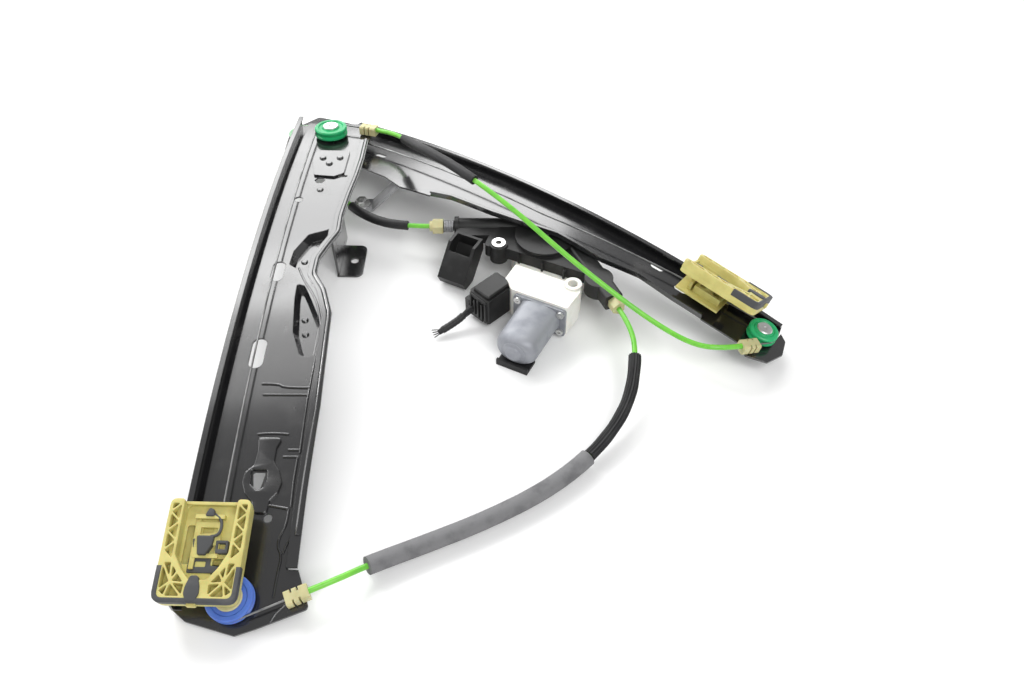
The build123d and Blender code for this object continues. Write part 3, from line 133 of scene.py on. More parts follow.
class Field:
    """A value that varies over a surface; Python's operators add Math nodes to its material."""

    def __init__(self, finish, socket):
        self.finish = finish
        self.socket = socket

    def math(self, operation, *others):
        node = self.finish.tree.nodes.new("ShaderNodeMath")
        node.operation = operation
        for slot, value in zip(node.inputs, (self, *others)):
            self.finish.feed(slot, value)
        return Field(self.finish, node.outputs[0])

    def __add__(self, other):
        return self.math("ADD", other)

    def __mul__(self, other):
        return self.math("MULTIPLY", other)


class Finish:
    """One procedural material, built up from named fields."""

    def __init__(self, name, color, roughness, metallic=0.0, **constants):
        self.material = bpy.data.materials.new(name)
        self.material.use_nodes = True
        self.tree = self.material.node_tree
        self.shader = self.tree.nodes["Principled BSDF"]
        self.color = (*color, 1.0)
        self.shader.inputs["Base Color"].default_value = self.color
        self.shader.inputs["Roughness"].default_value = roughness
        self.shader.inputs["Metallic"].default_value = metallic
        for key, value in constants.items():
            self.shader.inputs[key.replace("_", " ")].default_value = value
        self.coords = self.node("ShaderNodeTexCoord").outputs["Object"]

    def feed(self, slot, value):
        if isinstance(value, Field):
            value = value.socket
        if isinstance(value, bpy.types.NodeSocket):
            self.tree.links.new(value, slot)
        else:
            slot.default_value = value

    def node(self, kind, settings=None, **values):
        node = self.tree.nodes.new(kind)
        for key, value in (settings or {}).items():
            setattr(node, key, value)
        for key, value in values.items():
            self.feed(node.inputs[key.replace("_", " ")], value)
        return node

    def noise(self, scale, detail=3.0, stretch=None):
        """Cloudy noise from 0 to 1; scale is in patches per metre."""
        vector = self.coords
        if stretch:
            vector = self.node("ShaderNodeMapping", Vector=vector, Scale=stretch).outputs[0]
        cloud = self.node("ShaderNodeTexNoise", Vector=vector, Scale=scale, Detail=detail)
        return Field(self, cloud.outputs["Fac"])

    def ramp(self, field, low, high):
        """Field as 0 below low and 1 above high."""
        node = self.node("ShaderNodeMapRange", {"interpolation_type": "SMOOTHSTEP"}, Value=field)
        node.inputs["From Min"].default_value = low
        node.inputs["From Max"].default_value = high
        return Field(self, node.outputs[0])

    def blend(self, mask, under, over):
        """Colour under where the mask is 0, over where it is 1."""
        node = self.tree.nodes.new("ShaderNodeMix")
        node.data_type = "RGBA"
        self.feed(node.inputs[0], mask)
        for slot, value in ((node.inputs[6], under), (node.inputs[7], over)):
            self.feed(slot, value if not isinstance(value, tuple) or len(value) == 4 else (*value, 1.0))
        return node.outputs[2]

    def paint(self, color):
        self.feed(self.shader.inputs["Base Color"], color)

    def gloss(self, roughness):
        self.feed(self.shader.inputs["Roughness"], roughness)

    def relief(self, height, distance, strength=1.0, edge=0.0):
        """Bump of the given height, in metres, on edges softened by a small radius."""
        bump = self.node("ShaderNodeBump", Height=height, Distance=distance, Strength=strength)
        if edge:
            soft_edge = self.node("ShaderNodeBevel", {"samples": 4}, Radius=edge)
            self.feed(bump.inputs["Normal"], soft_edge.outputs[0])
        self.feed(self.shader.inputs["Normal"], bump.outputs[0])


def ecoat(name, color=(0.011, 0.011, 0.012)):
    """Black electro-coat on pressed steel: glossy, faintly dusty, with handling marks."""
    f = Finish(
        name, color, 0.24, Specular_IOR_Level=0.8, Coat_Weight=0.7, Coat_IOR=1.6,
        Coat_Roughness=0.12)
    dust = f.ramp(f.noise(28, 5), 0.5, 0.8)
    marks = f.ramp(f.noise(160, 6, (1, 0.25, 1)), 0.62, 0.8)
    f.paint(f.blend(dust * 0.3, f.color, (0.05, 0.048, 0.045)))
    f.gloss(dust * 0.14 + marks * 0.12 + 0.2)
    f.relief(f.noise(900, 2), 0.00004, 0.6, 0.0012)
    return f


def nylon(name, color, shade, roughness=0.42, soft=0.15):
    """Moulded nylon: uneven colour, fine moulding grain, greasy patches."""
    f = Finish(name, color, roughness, Subsurface_Weight=soft, Subsurface_Scale=0.002)
    clouds = f.ramp(f.noise(90, 4), 0.35, 0.75)
    grease = f.ramp(f.noise(45, 3), 0.55, 0.7)
    f.paint(f.blend(clouds, f.color, shade))
    f.gloss(grease * -0.14 + (roughness + 0.03))
    f.relief(f.noise(1500, 2), 0.00003, 0.5)
    return f


def rubber(name, color, shade, roughness=0.62, grain=1200, depth=0.00005):
    f = Finish(name, color, roughness, Specular_IOR_Level=0.4)
    bloom = f.ramp(f.noise(70, 5), 0.45, 0.8)
    f.paint(f.blend(bloom, f.color, shade))
    f.gloss(bloom * 0.12 + roughness)
    f.relief(f.noise(grain, 3), depth, 0.7, 0.0006)
    return f


def steel(name, color, shade, roughness=0.32, stretch=(1, 1, 1), metallic=0.9):
    """Plated or machined steel with fine lines and dull patches."""
    f = Finish(name, color, roughness, metallic)
    lines = f.noise(1400, 3, stretch)
    dull = f.ramp(f.noise(60, 4), 0.4, 0.75)
    f.paint(f.blend(dull, f.color, shade))
    f.gloss(dull * 0.16 + lines * 0.1 + (roughness - 0.05))
    f.relief(lines, 0.00003, 0.5)
    return f


FINISHES = {
    "black_steel": ecoat("black electro-coat"),
    "grey_steel": steel("zinc plate", (0.42, 0.42, 0.43), (0.30, 0.30, 0.31), 0.42),
    "bright_steel": steel("bright zinc", (0.75, 0.75, 0.74), (0.55, 0.55, 0.54), 0.28),
    "cable_steel": steel("cable strand", (0.28, 0.28, 0.28), (0.12, 0.12, 0.12), 0.4, (1, 6, 6)),
    "natural_nylon": nylon("natural nylon", (0.58, 0.54, 0.29), (0.47, 0.44, 0.22)),
    "yellow_nylon": nylon("yellowed nylon", (0.60, 0.54, 0.19), (0.50, 0.44, 0.14)),
    "green_nylon": nylon("green nylon", (0.02, 0.44, 0.16), (0.012, 0.34, 0.11), 0.32),
    "pale_green_nylon": nylon("pale green nylon", (0.26, 0.52, 0.30), (0.2, 0.44, 0.24), 0.36),
    "blue_nylon": nylon("blue nylon", (0.09, 0.19, 0.62), (0.07, 0.15, 0.53), 0.36),
    "green_sheath": nylon("green sheath", (0.19, 0.60, 0.06), (0.14, 0.51, 0.05), 0.3),
    "black_plastic": rubber("black moulding", (0.012, 0.012, 0.012), (0.03, 0.03, 0.03), 0.45),
    "grey_rubber": rubber("grey rubber", (0.06, 0.062, 0.065), (0.10, 0.10, 0.10), 0.6),
    "black_rubber": rubber("black rubber", (0.012, 0.012, 0.013), (0.03, 0.03, 0.03), 0.55),
    "grey_foam": rubber("grey foam", (0.20, 0.20, 0.205), (0.13, 0.13, 0.135), 0.95, 800, 0.0004),
    "motor_steel": steel(
        "motor can plate", (0.32, 0.33, 0.36), (0.25, 0.26, 0.29), 0.5, (1, 1, 0.2), 0.35),
    "cream_plastic": nylon("cream moulding", (0.86, 0.85, 0.80), (0.77, 0.75, 0.69), 0.5, 0.1),
    "copper": steel("drawn copper", (0.70, 0.36, 0.2), (0.5, 0.25, 0.13), 0.35),
    "magnet": rubber("sintered magnet", (0.05, 0.05, 0.052), (0.08, 0.08, 0.08), 0.5),
    "core_steel": steel("laminated core", (0.3, 0.3, 0.31), (0.2, 0.2, 0.21), 0.45, (1, 1, 4)),
}

slot_of = {s["node"]: s["material_slot"] for s in frame["record"]["subparts"]}
for name, piece in nodes.items():
    piece.data.materials.clear()
    piece.data.materials.append(FINISHES[slot_of[name]].material)


# ---------------------------------------------------------------- conduits and their sleeves

def smooth_line(name, spots, resolution=12):
    """Smooth curve with the given spots as its control points."""
    line = bpy.data.curves.new(name, "CURVE")
    line.dimensions = "3D"
    spline = line.splines.new("NURBS")
    spline.points.add(len(spots) - 1)
    for point, spot in zip(spline.points, spots):
        point.co = (*spot, 1.0)
    spline.order_u = 3
    spline.use_endpoint_u = True
    line.resolution_u = resolution
    return in_scene(name, line)


def route_line(name, route):
    """Smooth line along a route of the drawing frame."""
    return smooth_line(name, [place(*spot) for spot in route], 16)


def thicken(line, diameter, facets, finish=None):
    """Makes a line into a round cord or bar with closed ends."""
    line.data.bevel_depth = diameter / 2
    line.data.bevel_resolution = facets
    line.data.use_fill_caps = True
    if finish:
        line.data.materials.append(FINISHES[finish].material)


def plain_mesh(piece, name):
    """Evaluated piece as a plain mesh object."""
    bpy.context.view_layer.update()
    view = bpy.context.evaluated_depsgraph_get()
    mesh = bpy.data.meshes.new_from_object(piece.evaluated_get(view))
    mesh.name = name
    return in_scene(name, mesh)


def mesh_of(holder, name):
    """Plain mesh in the place of its holder, which is removed."""
    piece = plain_mesh(holder, name)
    bpy.data.objects.remove(holder)
    return piece


def new_tree(title, shape, sizes, result):
    """Geometry Nodes tree with a shape, some sizes and a finish as inputs, its source and its sink."""
    tree = bpy.data.node_groups.new(title, "GeometryNodeTree")
    inputs = {shape: "NodeSocketGeometry", **dict.fromkeys(sizes, "NodeSocketFloat")}
    inputs["Finish"] = "NodeSocketMaterial"
    for name, kind in inputs.items():
        tree.interface.new_socket(name=name, in_out="INPUT", socket_type=kind)
    tree.interface.new_socket(name=result, in_out="OUTPUT", socket_type="NodeSocketGeometry")
    return tree, tree.nodes.new("NodeGroupInput"), tree.nodes.new("NodeGroupOutput")


def sweep(tree, path, section, source, sink):
    """Sends a section swept along a path to the sink, as a real mesh in the source's finish."""
    add = tree.nodes.new
    link = tree.links.new
    tube = add("GeometryNodeCurveToMesh")
    link(path, tube.inputs["Curve"])
    link(section, tube.inputs["Profile Curve"])
    tube.inputs["Fill Caps"].default_value = True
    real = add("GeometryNodeRealizeInstances")
    link(tube.outputs[0], real.inputs[0])
    cover = add("GeometryNodeSetMaterial")
    link(real.outputs[0], cover.inputs["Geometry"])
    link(source.outputs["Finish"], cover.inputs["Material"])
    link(cover.outputs[0], sink.inputs[0])
    return tube


def sleeve_tree(flutes=0):
    """Tube along a curve, from one length to another, with rings at a pitch or with flutes."""
    tree, source, sink = new_tree(
        "sleeve along a conduit", "Line", ("Start", "End", "Radius", "Pitch", "Depth"), "Sleeve")
    add = tree.nodes.new
    link = tree.links.new

    def maths(operation, first, second):
        node = add("ShaderNodeMath")
        node.operation = operation
        for slot, value in zip(node.inputs, (first, second)):
            if isinstance(value, (int, float)):
                slot.default_value = value
            else:
                link(value, slot)
        return node.outputs[0]

    trim = add("GeometryNodeTrimCurve")
    trim.mode = "LENGTH"
    link(source.outputs["Line"], trim.inputs["Curve"])
    link(source.outputs["Start"], trim.inputs[4])
    link(source.outputs["End"], trim.inputs[5])
    resample = add("GeometryNodeResampleCurve")
    resample.mode = "LENGTH"
    link(trim.outputs[0], resample.inputs["Curve"])
    link(maths("DIVIDE", source.outputs["Pitch"], 6.0), resample.inputs["Length"])
    along = add("GeometryNodeSplineParameter")
    turns = maths("DIVIDE", along.outputs["Length"], source.outputs["Pitch"])
    wave = maths("SINE", maths("MULTIPLY", turns, 2 * math.pi), 0.0)
    grown = maths("ADD", source.outputs["Radius"], maths("MULTIPLY", wave, source.outputs["Depth"]))
    radius = add("GeometryNodeSetCurveRadius")
    link(resample.outputs[0], radius.inputs["Curve"])
    link(grown, radius.inputs["Radius"])
    if flutes:
        ring = add("GeometryNodeCurveStar")
        ring.inputs["Points"].default_value = flutes
        ring.inputs["Inner Radius"].default_value = 0.84
        ring.inputs["Outer Radius"].default_value = 1.0
    else:
        ring = add("GeometryNodeCurvePrimitiveCircle")
        ring.inputs["Resolution"].default_value = 28
        ring.inputs["Radius"].default_value = 1.0
    tube = sweep(tree, radius.outputs[0], ring.outputs[0], source, sink)
    if "Scale" in tube.inputs:
        own = add("GeometryNodeInputRadius")
        link(own.outputs[0], tube.inputs["Scale"])
    return tree


SLEEVE = sleeve_tree()
FLUTED = sleeve_tree(14)


def grow(tree, source, name, **values):
    """Runs a Geometry Nodes tree on a piece and returns the result as a plain mesh."""
    bpy.context.view_layer.update()
    modifier = source.modifiers.new(tree.name, "NODES")
    modifier.node_group = tree
    for item in tree.interface.items_tree:
        if item.in_out == "INPUT" and item.name in values:
            modifier[item.identifier] = values[item.name]
    result = plain_mesh(source, name)
    source.modifiers.remove(modifier)
    return result


def smooth(piece, angle=40.0):
    for face in piece.data.polygons:
        face.use_smooth = True
    piece.data.set_sharp_from_angle(angle=math.radians(angle))
    return piece


CONDUIT_D = 4.6 * MM
CONDUITS = {
    "conduit_a": [
        (-72.0, 104.0, 32.0), (-100.0, 104.0, 32.0), (-130.0, 112.0, 31.0), (-160.0, 136.0, 30.0),
        (-184.0, 176.0, 31.0), (-217.1, 206.5, 40.8), (-226.0, 228.1, 35.2)],
    "conduit_b": [
        (92.6, -4.6, 32.0), (103.8, -30.3, 32.0), (105.0, -64.0, 27.0), (96.0, -106.0, 17.0),
        (68.0, -146.0, 9.0), (28.0, -182.0, 8.0), (-20.0, -210.0, 8.0), (-66.0, -231.0, 8.0),
        (-104.0, -248.0, 9.0), (-124.4, -265.9, 19.5), (-146.5, -274.7, 17.0)],
    "conduit_c": [
        (-145.4, 239.0, 49.5), (-122.5, 231.9, 50.3), (-99.0, 186.0, 69.0), (-77.0, 132.0, 98.0),
        (-46.0, 89.0, 110.0), (0.0, 48.0, 100.0), (42.0, 14.0, 80.0), (86.0, -13.0, 57.0),
        (123.0, -32.0, 38.0), (153.0, -52.0, 33.0), (176.9, -58.5, 34.9), (198.8, -50.3, 29.6)],
}
SLEEVES = (
    # name, conduit, then in mm start, end, radius, pitch and ring depth, then finish
    ("sleeve_a", "conduit_a", 28.0, 96.0, 4.5, 6.0, 0.0, "black_rubber"),
    ("sleeve_c", "conduit_c", 52.0, 211.0, 4.5, 6.0, 0.0, "black_rubber"),
    ("sleeve_b_ribbed", "conduit_b", 57.0, 162.0, 5.4, 26.0, 0.12, "black_rubber"),
    ("sleeve_b_foam", "conduit_b", 164.0, 357.0, 7.0, 12.0, 0.0, "grey_foam"),
)


def conduits():
    for name, points in CONDUITS.items():
        line = route_line(name + "_cord", points)
        for sleeve, conduit, start, end, radius, pitch, depth, finish in SLEEVES:
            if conduit != name:
                continue
            piece = grow(
                FLUTED if sleeve == "sleeve_b_ribbed" else SLEEVE, line, sleeve + "_cover",
                Start=start * MM, End=end * MM, Radius=radius * MM, Pitch=pitch * MM,
                Depth=depth * MM, Finish=FINISHES[finish].material)
            smooth(piece, 60.0)
            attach(piece, "base")
            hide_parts(sleeve)
        thicken(line, CONDUIT_D, 6, "green_sheath")
        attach(line, "base")
        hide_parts(name)


conduits()

STUB = [(-35.3, 11.4, 17.0), (-42.9, 3.0, 13.0), (-52.8, -3.2, 8.0), (-65.9, -11.2, 5.0)]
STUB_D = 6.4 * MM
WIRE_D = 1.5 * MM
WIRES = 6
TIPS = 4


def wire(name, points, diameter):
    """Thin insulated wire along a smooth route, as a plain mesh."""
    line = route_line(name + "_line", points)
    thicken(line, diameter, 2, "black_rubber")
    piece = mesh_of(line, name)
    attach(smooth(piece), "base")
    return piece


def stub():
    """Taped wiring stub that leaves the connector and is cut off short."""
    line = route_line("harness_cord", STUB)
    taped = grow(
        SLEEVE, line, "harness_tape", Start=13.0 * MM, End=36.5 * MM, Radius=3.3 * MM,
        Pitch=3.4 * MM, Depth=0.12 * MM, Finish=FINISHES["black_plastic"].material)
    smooth(taped, 60.0)
    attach(taped, "base")
    for i in range(WIRES):
        side = i - (WIRES - 1) / 2
        lift = 2.2 * math.sin(2.4 * i)
        wire("wire_%d" % i, [
            (-30.0 + side * 1.4, 13.0 + side * 2.2, 17.0 + lift),
            (-36.0 + side * 1.8, 7.0 + side * 1.2, 17.0 + 2 * lift),
            (-44.0 + side * 0.6, 1.6 + side * 0.4, 12.0 + lift),
            (-52.0 + side * 0.3, -3.0 + side * 0.3, 8.6 + lift * 0.3)], WIRE_D)
    for i in range(TIPS):
        side = i - (TIPS - 1) / 2
        wire("wire_tip_%d" % i, [
            (-63.0, -9.6 + side, 5.2), (-66.0, -11.4 + side * 1.5, 5.2 + side * 0.6),
            (-69.5 - i, -12.6 + side * 2.4, 4.6 + side * 0.7)], WIRE_D * 0.6)
    thicken(line, STUB_D * 0.8, 6, "black_rubber")
    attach(line, "base")
    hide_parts("harness")


stub()


# ---------------------------------------------------------------- tension spring at the cable mouth

def coil_tree():
    """Coil spring along Z."""
    tree, source, sink = new_tree(
        "coil spring", "Seat", ("Turns", "Coil radius", "Height", "Wire radius"), "Spring")
    add = tree.nodes.new
    link = tree.links.new
    spiral = add("GeometryNodeCurveSpiral")
    spiral.inputs["Resolution"].default_value = 28
    link(source.outputs["Turns"], spiral.inputs["Rotations"])
    link(source.outputs["Coil radius"], spiral.inputs["Start Radius"])
    link(source.outputs["Coil radius"], spiral.inputs["End Radius"])
    link(source.outputs["Height"], spiral.inputs["Height"])
    ring = add("GeometryNodeCurvePrimitiveCircle")
    ring.inputs["Resolution"].default_value = 10
    link(source.outputs["Wire radius"], ring.inputs["Radius"])
    sweep(tree, spiral.outputs[0], ring.outputs["Curve"], source, sink)
    return tree


SPRING_R = 5.1
SPRING_WIRE_R = 0.85


def spring():
    """Tension spring in the place of its plain solid."""
    seat = in_scene("spring seat", bpy.data.meshes.new("spring seat"))
    low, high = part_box("tension_spring")
    length = high.x - low.x
    wire_r = SPRING_WIRE_R * MM
    piece = grow(
        coil_tree(), seat, "tension_spring_coil", Turns=6.0, Height=length - 2 * wire_r,
        Finish=FINISHES["grey_steel"].material, **{"Coil radius": SPRING_R * MM, "Wire radius": wire_r})
    bpy.data.objects.remove(seat)
    middle = (low + high) / 2
    piece.data.transform(Matrix.Translation((low.x + wire_r, middle.y, middle.z))
                         @ Matrix.Rotation(math.radians(90), 4, "Y"))
    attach(smooth(piece, 60.0), "base")
    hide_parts("tension_spring")


spring()


# ---------------------------------------------------------------- glass holders, their trims and latches

RAILS = {
    # rail: origin, yaw, pitch, roll, half angle of the bow, side, of the rail's own drawing frame
    1: ((-233.82, -20.5, 51.1), -1.531, 3.78, 0.0, 0.19921, 1.0),
    2: ((22.42, 144.7, 40.7), 53.553, 0.0, 8.0, 0.20544, -1.0),
}
RAIL_R = 1350.0


def on_rail(rail, along, across=0.0, rise=0.0):
    """Matrix from a spot on a rail (across, up the rail and off its web, in mm) to the part."""
    origin, yaw, pitch, roll, half, side = RAILS[rail]
    turn = half - along / RAIL_R
    lie = Matrix.Translation(ORIGIN + Vector(origin)) @ Matrix.Rotation(math.radians(yaw), 4, "Z")
    lie = lie @ Matrix.Rotation(math.radians(pitch), 4, "X")
    lie = lie @ Matrix.Rotation(math.radians(roll), 4, "Y")
    bow = Matrix.Translation((0, RAIL_R * math.sin(turn), RAIL_R * (math.cos(turn) - 1)))
    spot = bow @ Matrix.Rotation(-turn, 4, "X") @ Matrix.Translation((across, 0, rise))
    return TO_METRES @ lie @ Matrix.Diagonal((side, 1, 1, 1)) @ spot


def rounded(points, radius, steps=5):
    """Closed outline with its corners turned into arcs, of one radius or one for each corner."""
    radii = radius if isinstance(radius, (list, tuple)) else [radius] * len(points)
    loop = []
    for i, (corner, arc) in enumerate(zip(points, radii)):
        here = Vector(corner)
        to_last = Vector(points[i - 1]) - here
        to_next = Vector(points[(i + 1) % len(points)]) - here
        half = to_last.angle(to_next) / 2
        reach = min(arc / math.tan(half), to_last.length * 0.49, to_next.length * 0.49)
        first = here + to_last.normalized() * reach
        last = here + to_next.normalized() * reach
        for k in range(steps + 1):
            t = k / steps
            loop.append(tuple(first * (1 - t) ** 2 + here * 2 * t * (1 - t) + last * t * t))
    return loop


def inset(points, gap):
    """Convex outline pulled in by a gap on all sides."""
    area = sum(a[0] * b[1] - b[0] * a[1] for a, b in zip(points, [*points[1:], points[0]]))
    sign = 1.0 if area > 0 else -1.0
    lines = []
    for a, b in zip(points, [*points[1:], points[0]]):
        along = (Vector(b) - Vector(a)).normalized()
        inward = Vector((-along.y, along.x)) * sign
        lines.append((Vector(a) + inward * gap, along))
    loop = []
    for (a, u), (b, v) in zip([lines[-1], *lines[:-1]], lines):
        cross = u.x * v.y - u.y * v.x
        t = ((b - a).x * v.y - (b - a).y * v.x) / cross
        loop.append(tuple(a + u * t))
    return loop


def plate(name, loops, low, high, edge):
    """Moulded plate between two heights: the first outline is its rim, the others are holes."""
    shape = bpy.data.curves.new(name, "CURVE")
    shape.dimensions = "2D"
    shape.fill_mode = "BOTH"
    for loop in loops:
        spline = shape.splines.new("POLY")
        spline.points.add(len(loop) - 1)
        for point, (x, y) in zip(spline.points, loop):
            point.co = (x, y, 0.0, 1.0)
        spline.use_cyclic_u = True
    shape.extrude = (high - low) / 2 - edge
    shape.bevel_depth = edge
    shape.bevel_resolution = 2
    shape.offset = -edge
    piece = mesh_of(in_scene(name, shape), name)
    piece.data.transform(Matrix.Translation((0, 0, (low + high) / 2)))
    return piece


def bar(name, points, radius):
    """Round bar along a smooth route, in mm."""
    line = smooth_line(name, points)
    thicken(line, 2 * radius, 4)
    return mesh_of(line, name)


def join(pieces, name, matrix, finish, angle=35.0):
    """One mesh of several pieces in local mm, brought to its place in the part."""
    whole = bmesh.new()
    for piece in pieces:
        whole.from_mesh(piece.data)
        bpy.data.objects.remove(piece)
    bmesh.ops.transform(whole, matrix=matrix, verts=whole.verts)
    bmesh.ops.remove_doubles(whole, verts=whole.verts, dist=1e-6)
    bmesh.ops.recalc_face_normals(whole, faces=whole.faces)
    mesh = bpy.data.meshes.new(name)
    whole.to_mesh(mesh)
    whole.free()
    mesh.materials.append(FINISHES[finish].material)
    result = in_scene(name, mesh)
    return smooth(result, angle)


# The holder's own frame: w across the rail, y up it, z off its web; its foot is HOLDER_N off the web.
HOLDER_W = (-5.0, 52.8)
HOLDER_HALF = 37.0
HOLDER_N = 14.5
HOLDER_T = 11.0
MOUTH = [(5.5, 34.5), (42.5, 34.5), (42.5, -2), (37, -13), (30.5, -21.5), (18, -21.5), (11.5, -14),
         (5.5, -4)]
PIVOT = (2.0, 19.0)
TRIM_TOP = -12.0
TRIM_GAP = 0.35
TRIM_WIDE = 3.3
TONGUE_W = 22.0
LATCH_TOP = 19.4
CARRIERS = (
    # rail, place up the rail, tilt of the holder in degrees
    (1, 499.0, 0.0),
    (2, 492.0, 25.0),
)


def zigzag(left, right, top, low, count):
    """Triangular pockets between zigzag ribs."""
    step = (top - low) / count
    pockets = []
    for i in range(count - 1):
        near, far = (left, right) if i % 2 else (right, left)
        y = top - i * step
        pockets.append([(near, y), (near, y - 2 * step), (far, y - step)])
    pockets.insert(0, [(left, top), (right, top), (left, top - step)])
    return pockets


def fan(middle, corners):
    """Triangular pockets round a middle spot."""
    return [[middle, a, b] for a, b in zip(corners, corners[1:])]


def holder_body(name):
    """Ribbed horseshoe frame with the floor, ridge, sill and clip inside and below it."""
    w0, w1 = HOLDER_W
    rim = rounded([(w0, HOLDER_HALF), (w1, HOLDER_HALF), (w1, -HOLDER_HALF), (w0, -HOLDER_HALF)], 7.0)
    mouth = rounded(MOUTH, 5.0)
    bend = MOUTH[2:]
    horseshoe = rounded(
        [(w0, HOLDER_HALF), (w0, -HOLDER_HALF), (w1, -HOLDER_HALF), (w1, HOLDER_HALF),
         (MOUTH[1][0] + 0.5, HOLDER_HALF), *bend, (MOUTH[0][0] - 0.5, HOLDER_HALF)],
        [6.0, 7.0, 7.0, 6.0, 2.5] + [5.0] * len(bend) + [2.5])
    left = zigzag(w0 + 1.6, MOUTH[0][0] - 1.4, HOLDER_HALF - 3.0, -8.0, 6)
    right = zigzag(w1 - 1.6, MOUTH[1][0] + 1.4, HOLDER_HALF - 3.0, -8.0, 6)
    bottom = -HOLDER_HALF + 3.6
    low_left = fan((5.5, -23.0), [
        (w0 + 3.0, bottom + 4), (w0 + 3.0, -9), (4.5, -9), (9.5, -16), (16, -24), (15.5, bottom),
        (w0 + 8, bottom), (w0 + 3.0, bottom + 4)])
    low_right = fan((42.5, -23.0), [
        (w1 - 3.0, bottom + 4), (w1 - 3.0, -9), (43.5, -9), (38.5, -16), (32, -24), (32.5, bottom),
        (w1 - 8, bottom), (w1 - 3.0, bottom + 4)])
    pockets = [rounded(inset(p, 0.65), 0.8, 3) for p in (*left, *right, *low_left, *low_right)]
    base = plate(name + "_base", [rim, mouth], 0.0, 4.0, 0.3)
    walls = plate(name + "_walls", [horseshoe, *pockets], 3.6, HOLDER_T, 0.45)
    floor = plate(name + "_floor", [
        rounded([(4, 35), (44, 35), (44, -12), (31, -23), (18, -23), (4, -12)], 1.0),
        rounded([(29.5, -4), (41.5, -4), (41.5, -9), (36.5, -15.5), (29.5, -15.5)], 1.5),
        rounded([(7.5, 20), (13, 20), (13, -8), (7.5, -8)], 1.5),
        rounded([(19, 21), (26.5, 21), (26.5, 14.5), (19, 14.5)], 1.0)], 0.2, 1.7, 0.2)
    ridge = plate(
        name + "_ridge", [rounded([(13.5, 24), (17, 24), (17, -12), (13.5, -12)], 0.6)], 1.0, 3.6, 0.4)
    sill = plate(
        name + "_sill", [rounded([(4, 36.6), (44, 36.6), (44, 34.2), (4, 34.2)], 0.5)], 0.2, 5.6, 0.3)
    clip = plate(
        name + "_clip", [rounded([(19, -35), (25.5, -35), (25.5, -39.4), (19, -39.4)], 1.0)],
        5.0, 9.0, 0.5)
    return [base, walls, floor, ridge, sill, clip]


def trim_band(name):
    """Rubber band round the holder's lower end and the drop-shaped tongue at its middle."""
    w0, w1 = HOLDER_W[0] - TRIM_GAP, HOLDER_W[1] + TRIM_GAP
    low = -HOLDER_HALF - TRIM_GAP
    in0, in1, in_low = w0 + TRIM_WIDE, w1 - TRIM_WIDE, low + TRIM_WIDE
    outer = rounded([(w0, TRIM_TOP), (w0, low), (w1, low), (w1, TRIM_TOP)], 7.3)
    inner = rounded([(in1, TRIM_TOP), (in1, in_low), (in0, in_low), (in0, TRIM_TOP)], 4.2)
    cut = len(outer) // 4
    loop = [(w0, TRIM_TOP), *outer[cut:-cut], (w1, TRIM_TOP), (in1, TRIM_TOP), *inner[cut:-cut],
            (in0, TRIM_TOP)]
    band = plate(name + "_band", [loop], HOLDER_T - 5.4, HOLDER_T + 0.8, 0.6)
    side = [(2.7, -18.6), (5.0, -26), (5.4, -31), (3.2, -36.6)]
    drop = [(TONGUE_W + w, y) for w, y in side] + [(TONGUE_W - w, y) for w, y in reversed(side)]
    tongue = plate(name + "_tongue", [rounded(drop, 2.4)], HOLDER_T - 3.0, HOLDER_T + 1.1, 0.7)
    return [band, tongue]


def latch_set(name):
    """Spring hook, latch wedge and slotted seat inside the holder's mouth."""
    top = LATCH_TOP
    head = plate(name + "_head", [rounded([(19.5, 25.5), (27, 25.5), (26, 30.5), (22.5, 32)], 1.6)],
                 top - 1.4, top + 2.2, 0.6)
    hook = bar(name + "_hook", [
        (24, 28, top), (29.5, 26.5, top), (32.8, 21, top), (32.4, 14, top), (29.5, 11.4, top),
        (26, 11.2, top - 0.5)], 1.15)
    wedge = plate(
        name + "_wedge", [rounded([(16.5, 11.5), (29, 11.5), (28.5, 5), (24.5, -2.5), (19, -2.5)], 1.4)],
        top - 7.0, top + 1.5, 0.8)
    tooth = plate(name + "_tooth", [rounded([(13.5, 9.5), (18, 11), (19, 4), (14.5, 3)], 1.0)],
                  top - 7.0, top - 1.0, 0.5)
    seat = plate(name + "_seat", [
        rounded([(12.5, -3.5), (28.5, -3.5), (28.5, -9), (35, -9.5), (35, -14.5), (12.5, -14.5)], 1.2),
        rounded([(17.5, -6.2), (25, -6.2), (25, -10), (17.5, -10)], 0.8)], 11.5, top - 2.5, 0.5)
    box = plate(name + "_box", [
        rounded([(30.5, 8.5), (39.5, 8.5), (40, -1), (31, -1)], 1.2),
        rounded([(32.3, 6.3), (37.7, 6.3), (37.8, 2.2), (32.5, 2.2)], 0.7)], 11.5, top, 0.5)
    return [head, hook, wedge, tooth, seat, box]


def carriers():
    for rail, along, tilt in CARRIERS:
        node = "carrier_%d" % rail
        base = on_rail(rail, along)
        pivot = Matrix.Translation((PIVOT[0], 0, PIVOT[1]))
        lean = base @ pivot @ Matrix.Rotation(math.radians(-tilt), 4, "Y") @ pivot.inverted()
        lean = lean @ Matrix.Translation((0, 0, HOLDER_N))
        for part, pieces, matrix, finish in (
                ("glass_holder", holder_body(node), lean, "yellow_nylon"),
                ("trim", trim_band(node), lean, "grey_rubber"),
                ("latch", latch_set(node), lean @ Matrix.Translation((0, 0, -HOLDER_N)), "grey_rubber")):
            piece = join(pieces, "%s_%s_form" % (node, part), matrix, finish)
            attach(piece, node)
            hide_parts("%s_%s" % (node, part))


carriers()


# ---------------------------------------------------------------- motor can and ribs of the plug

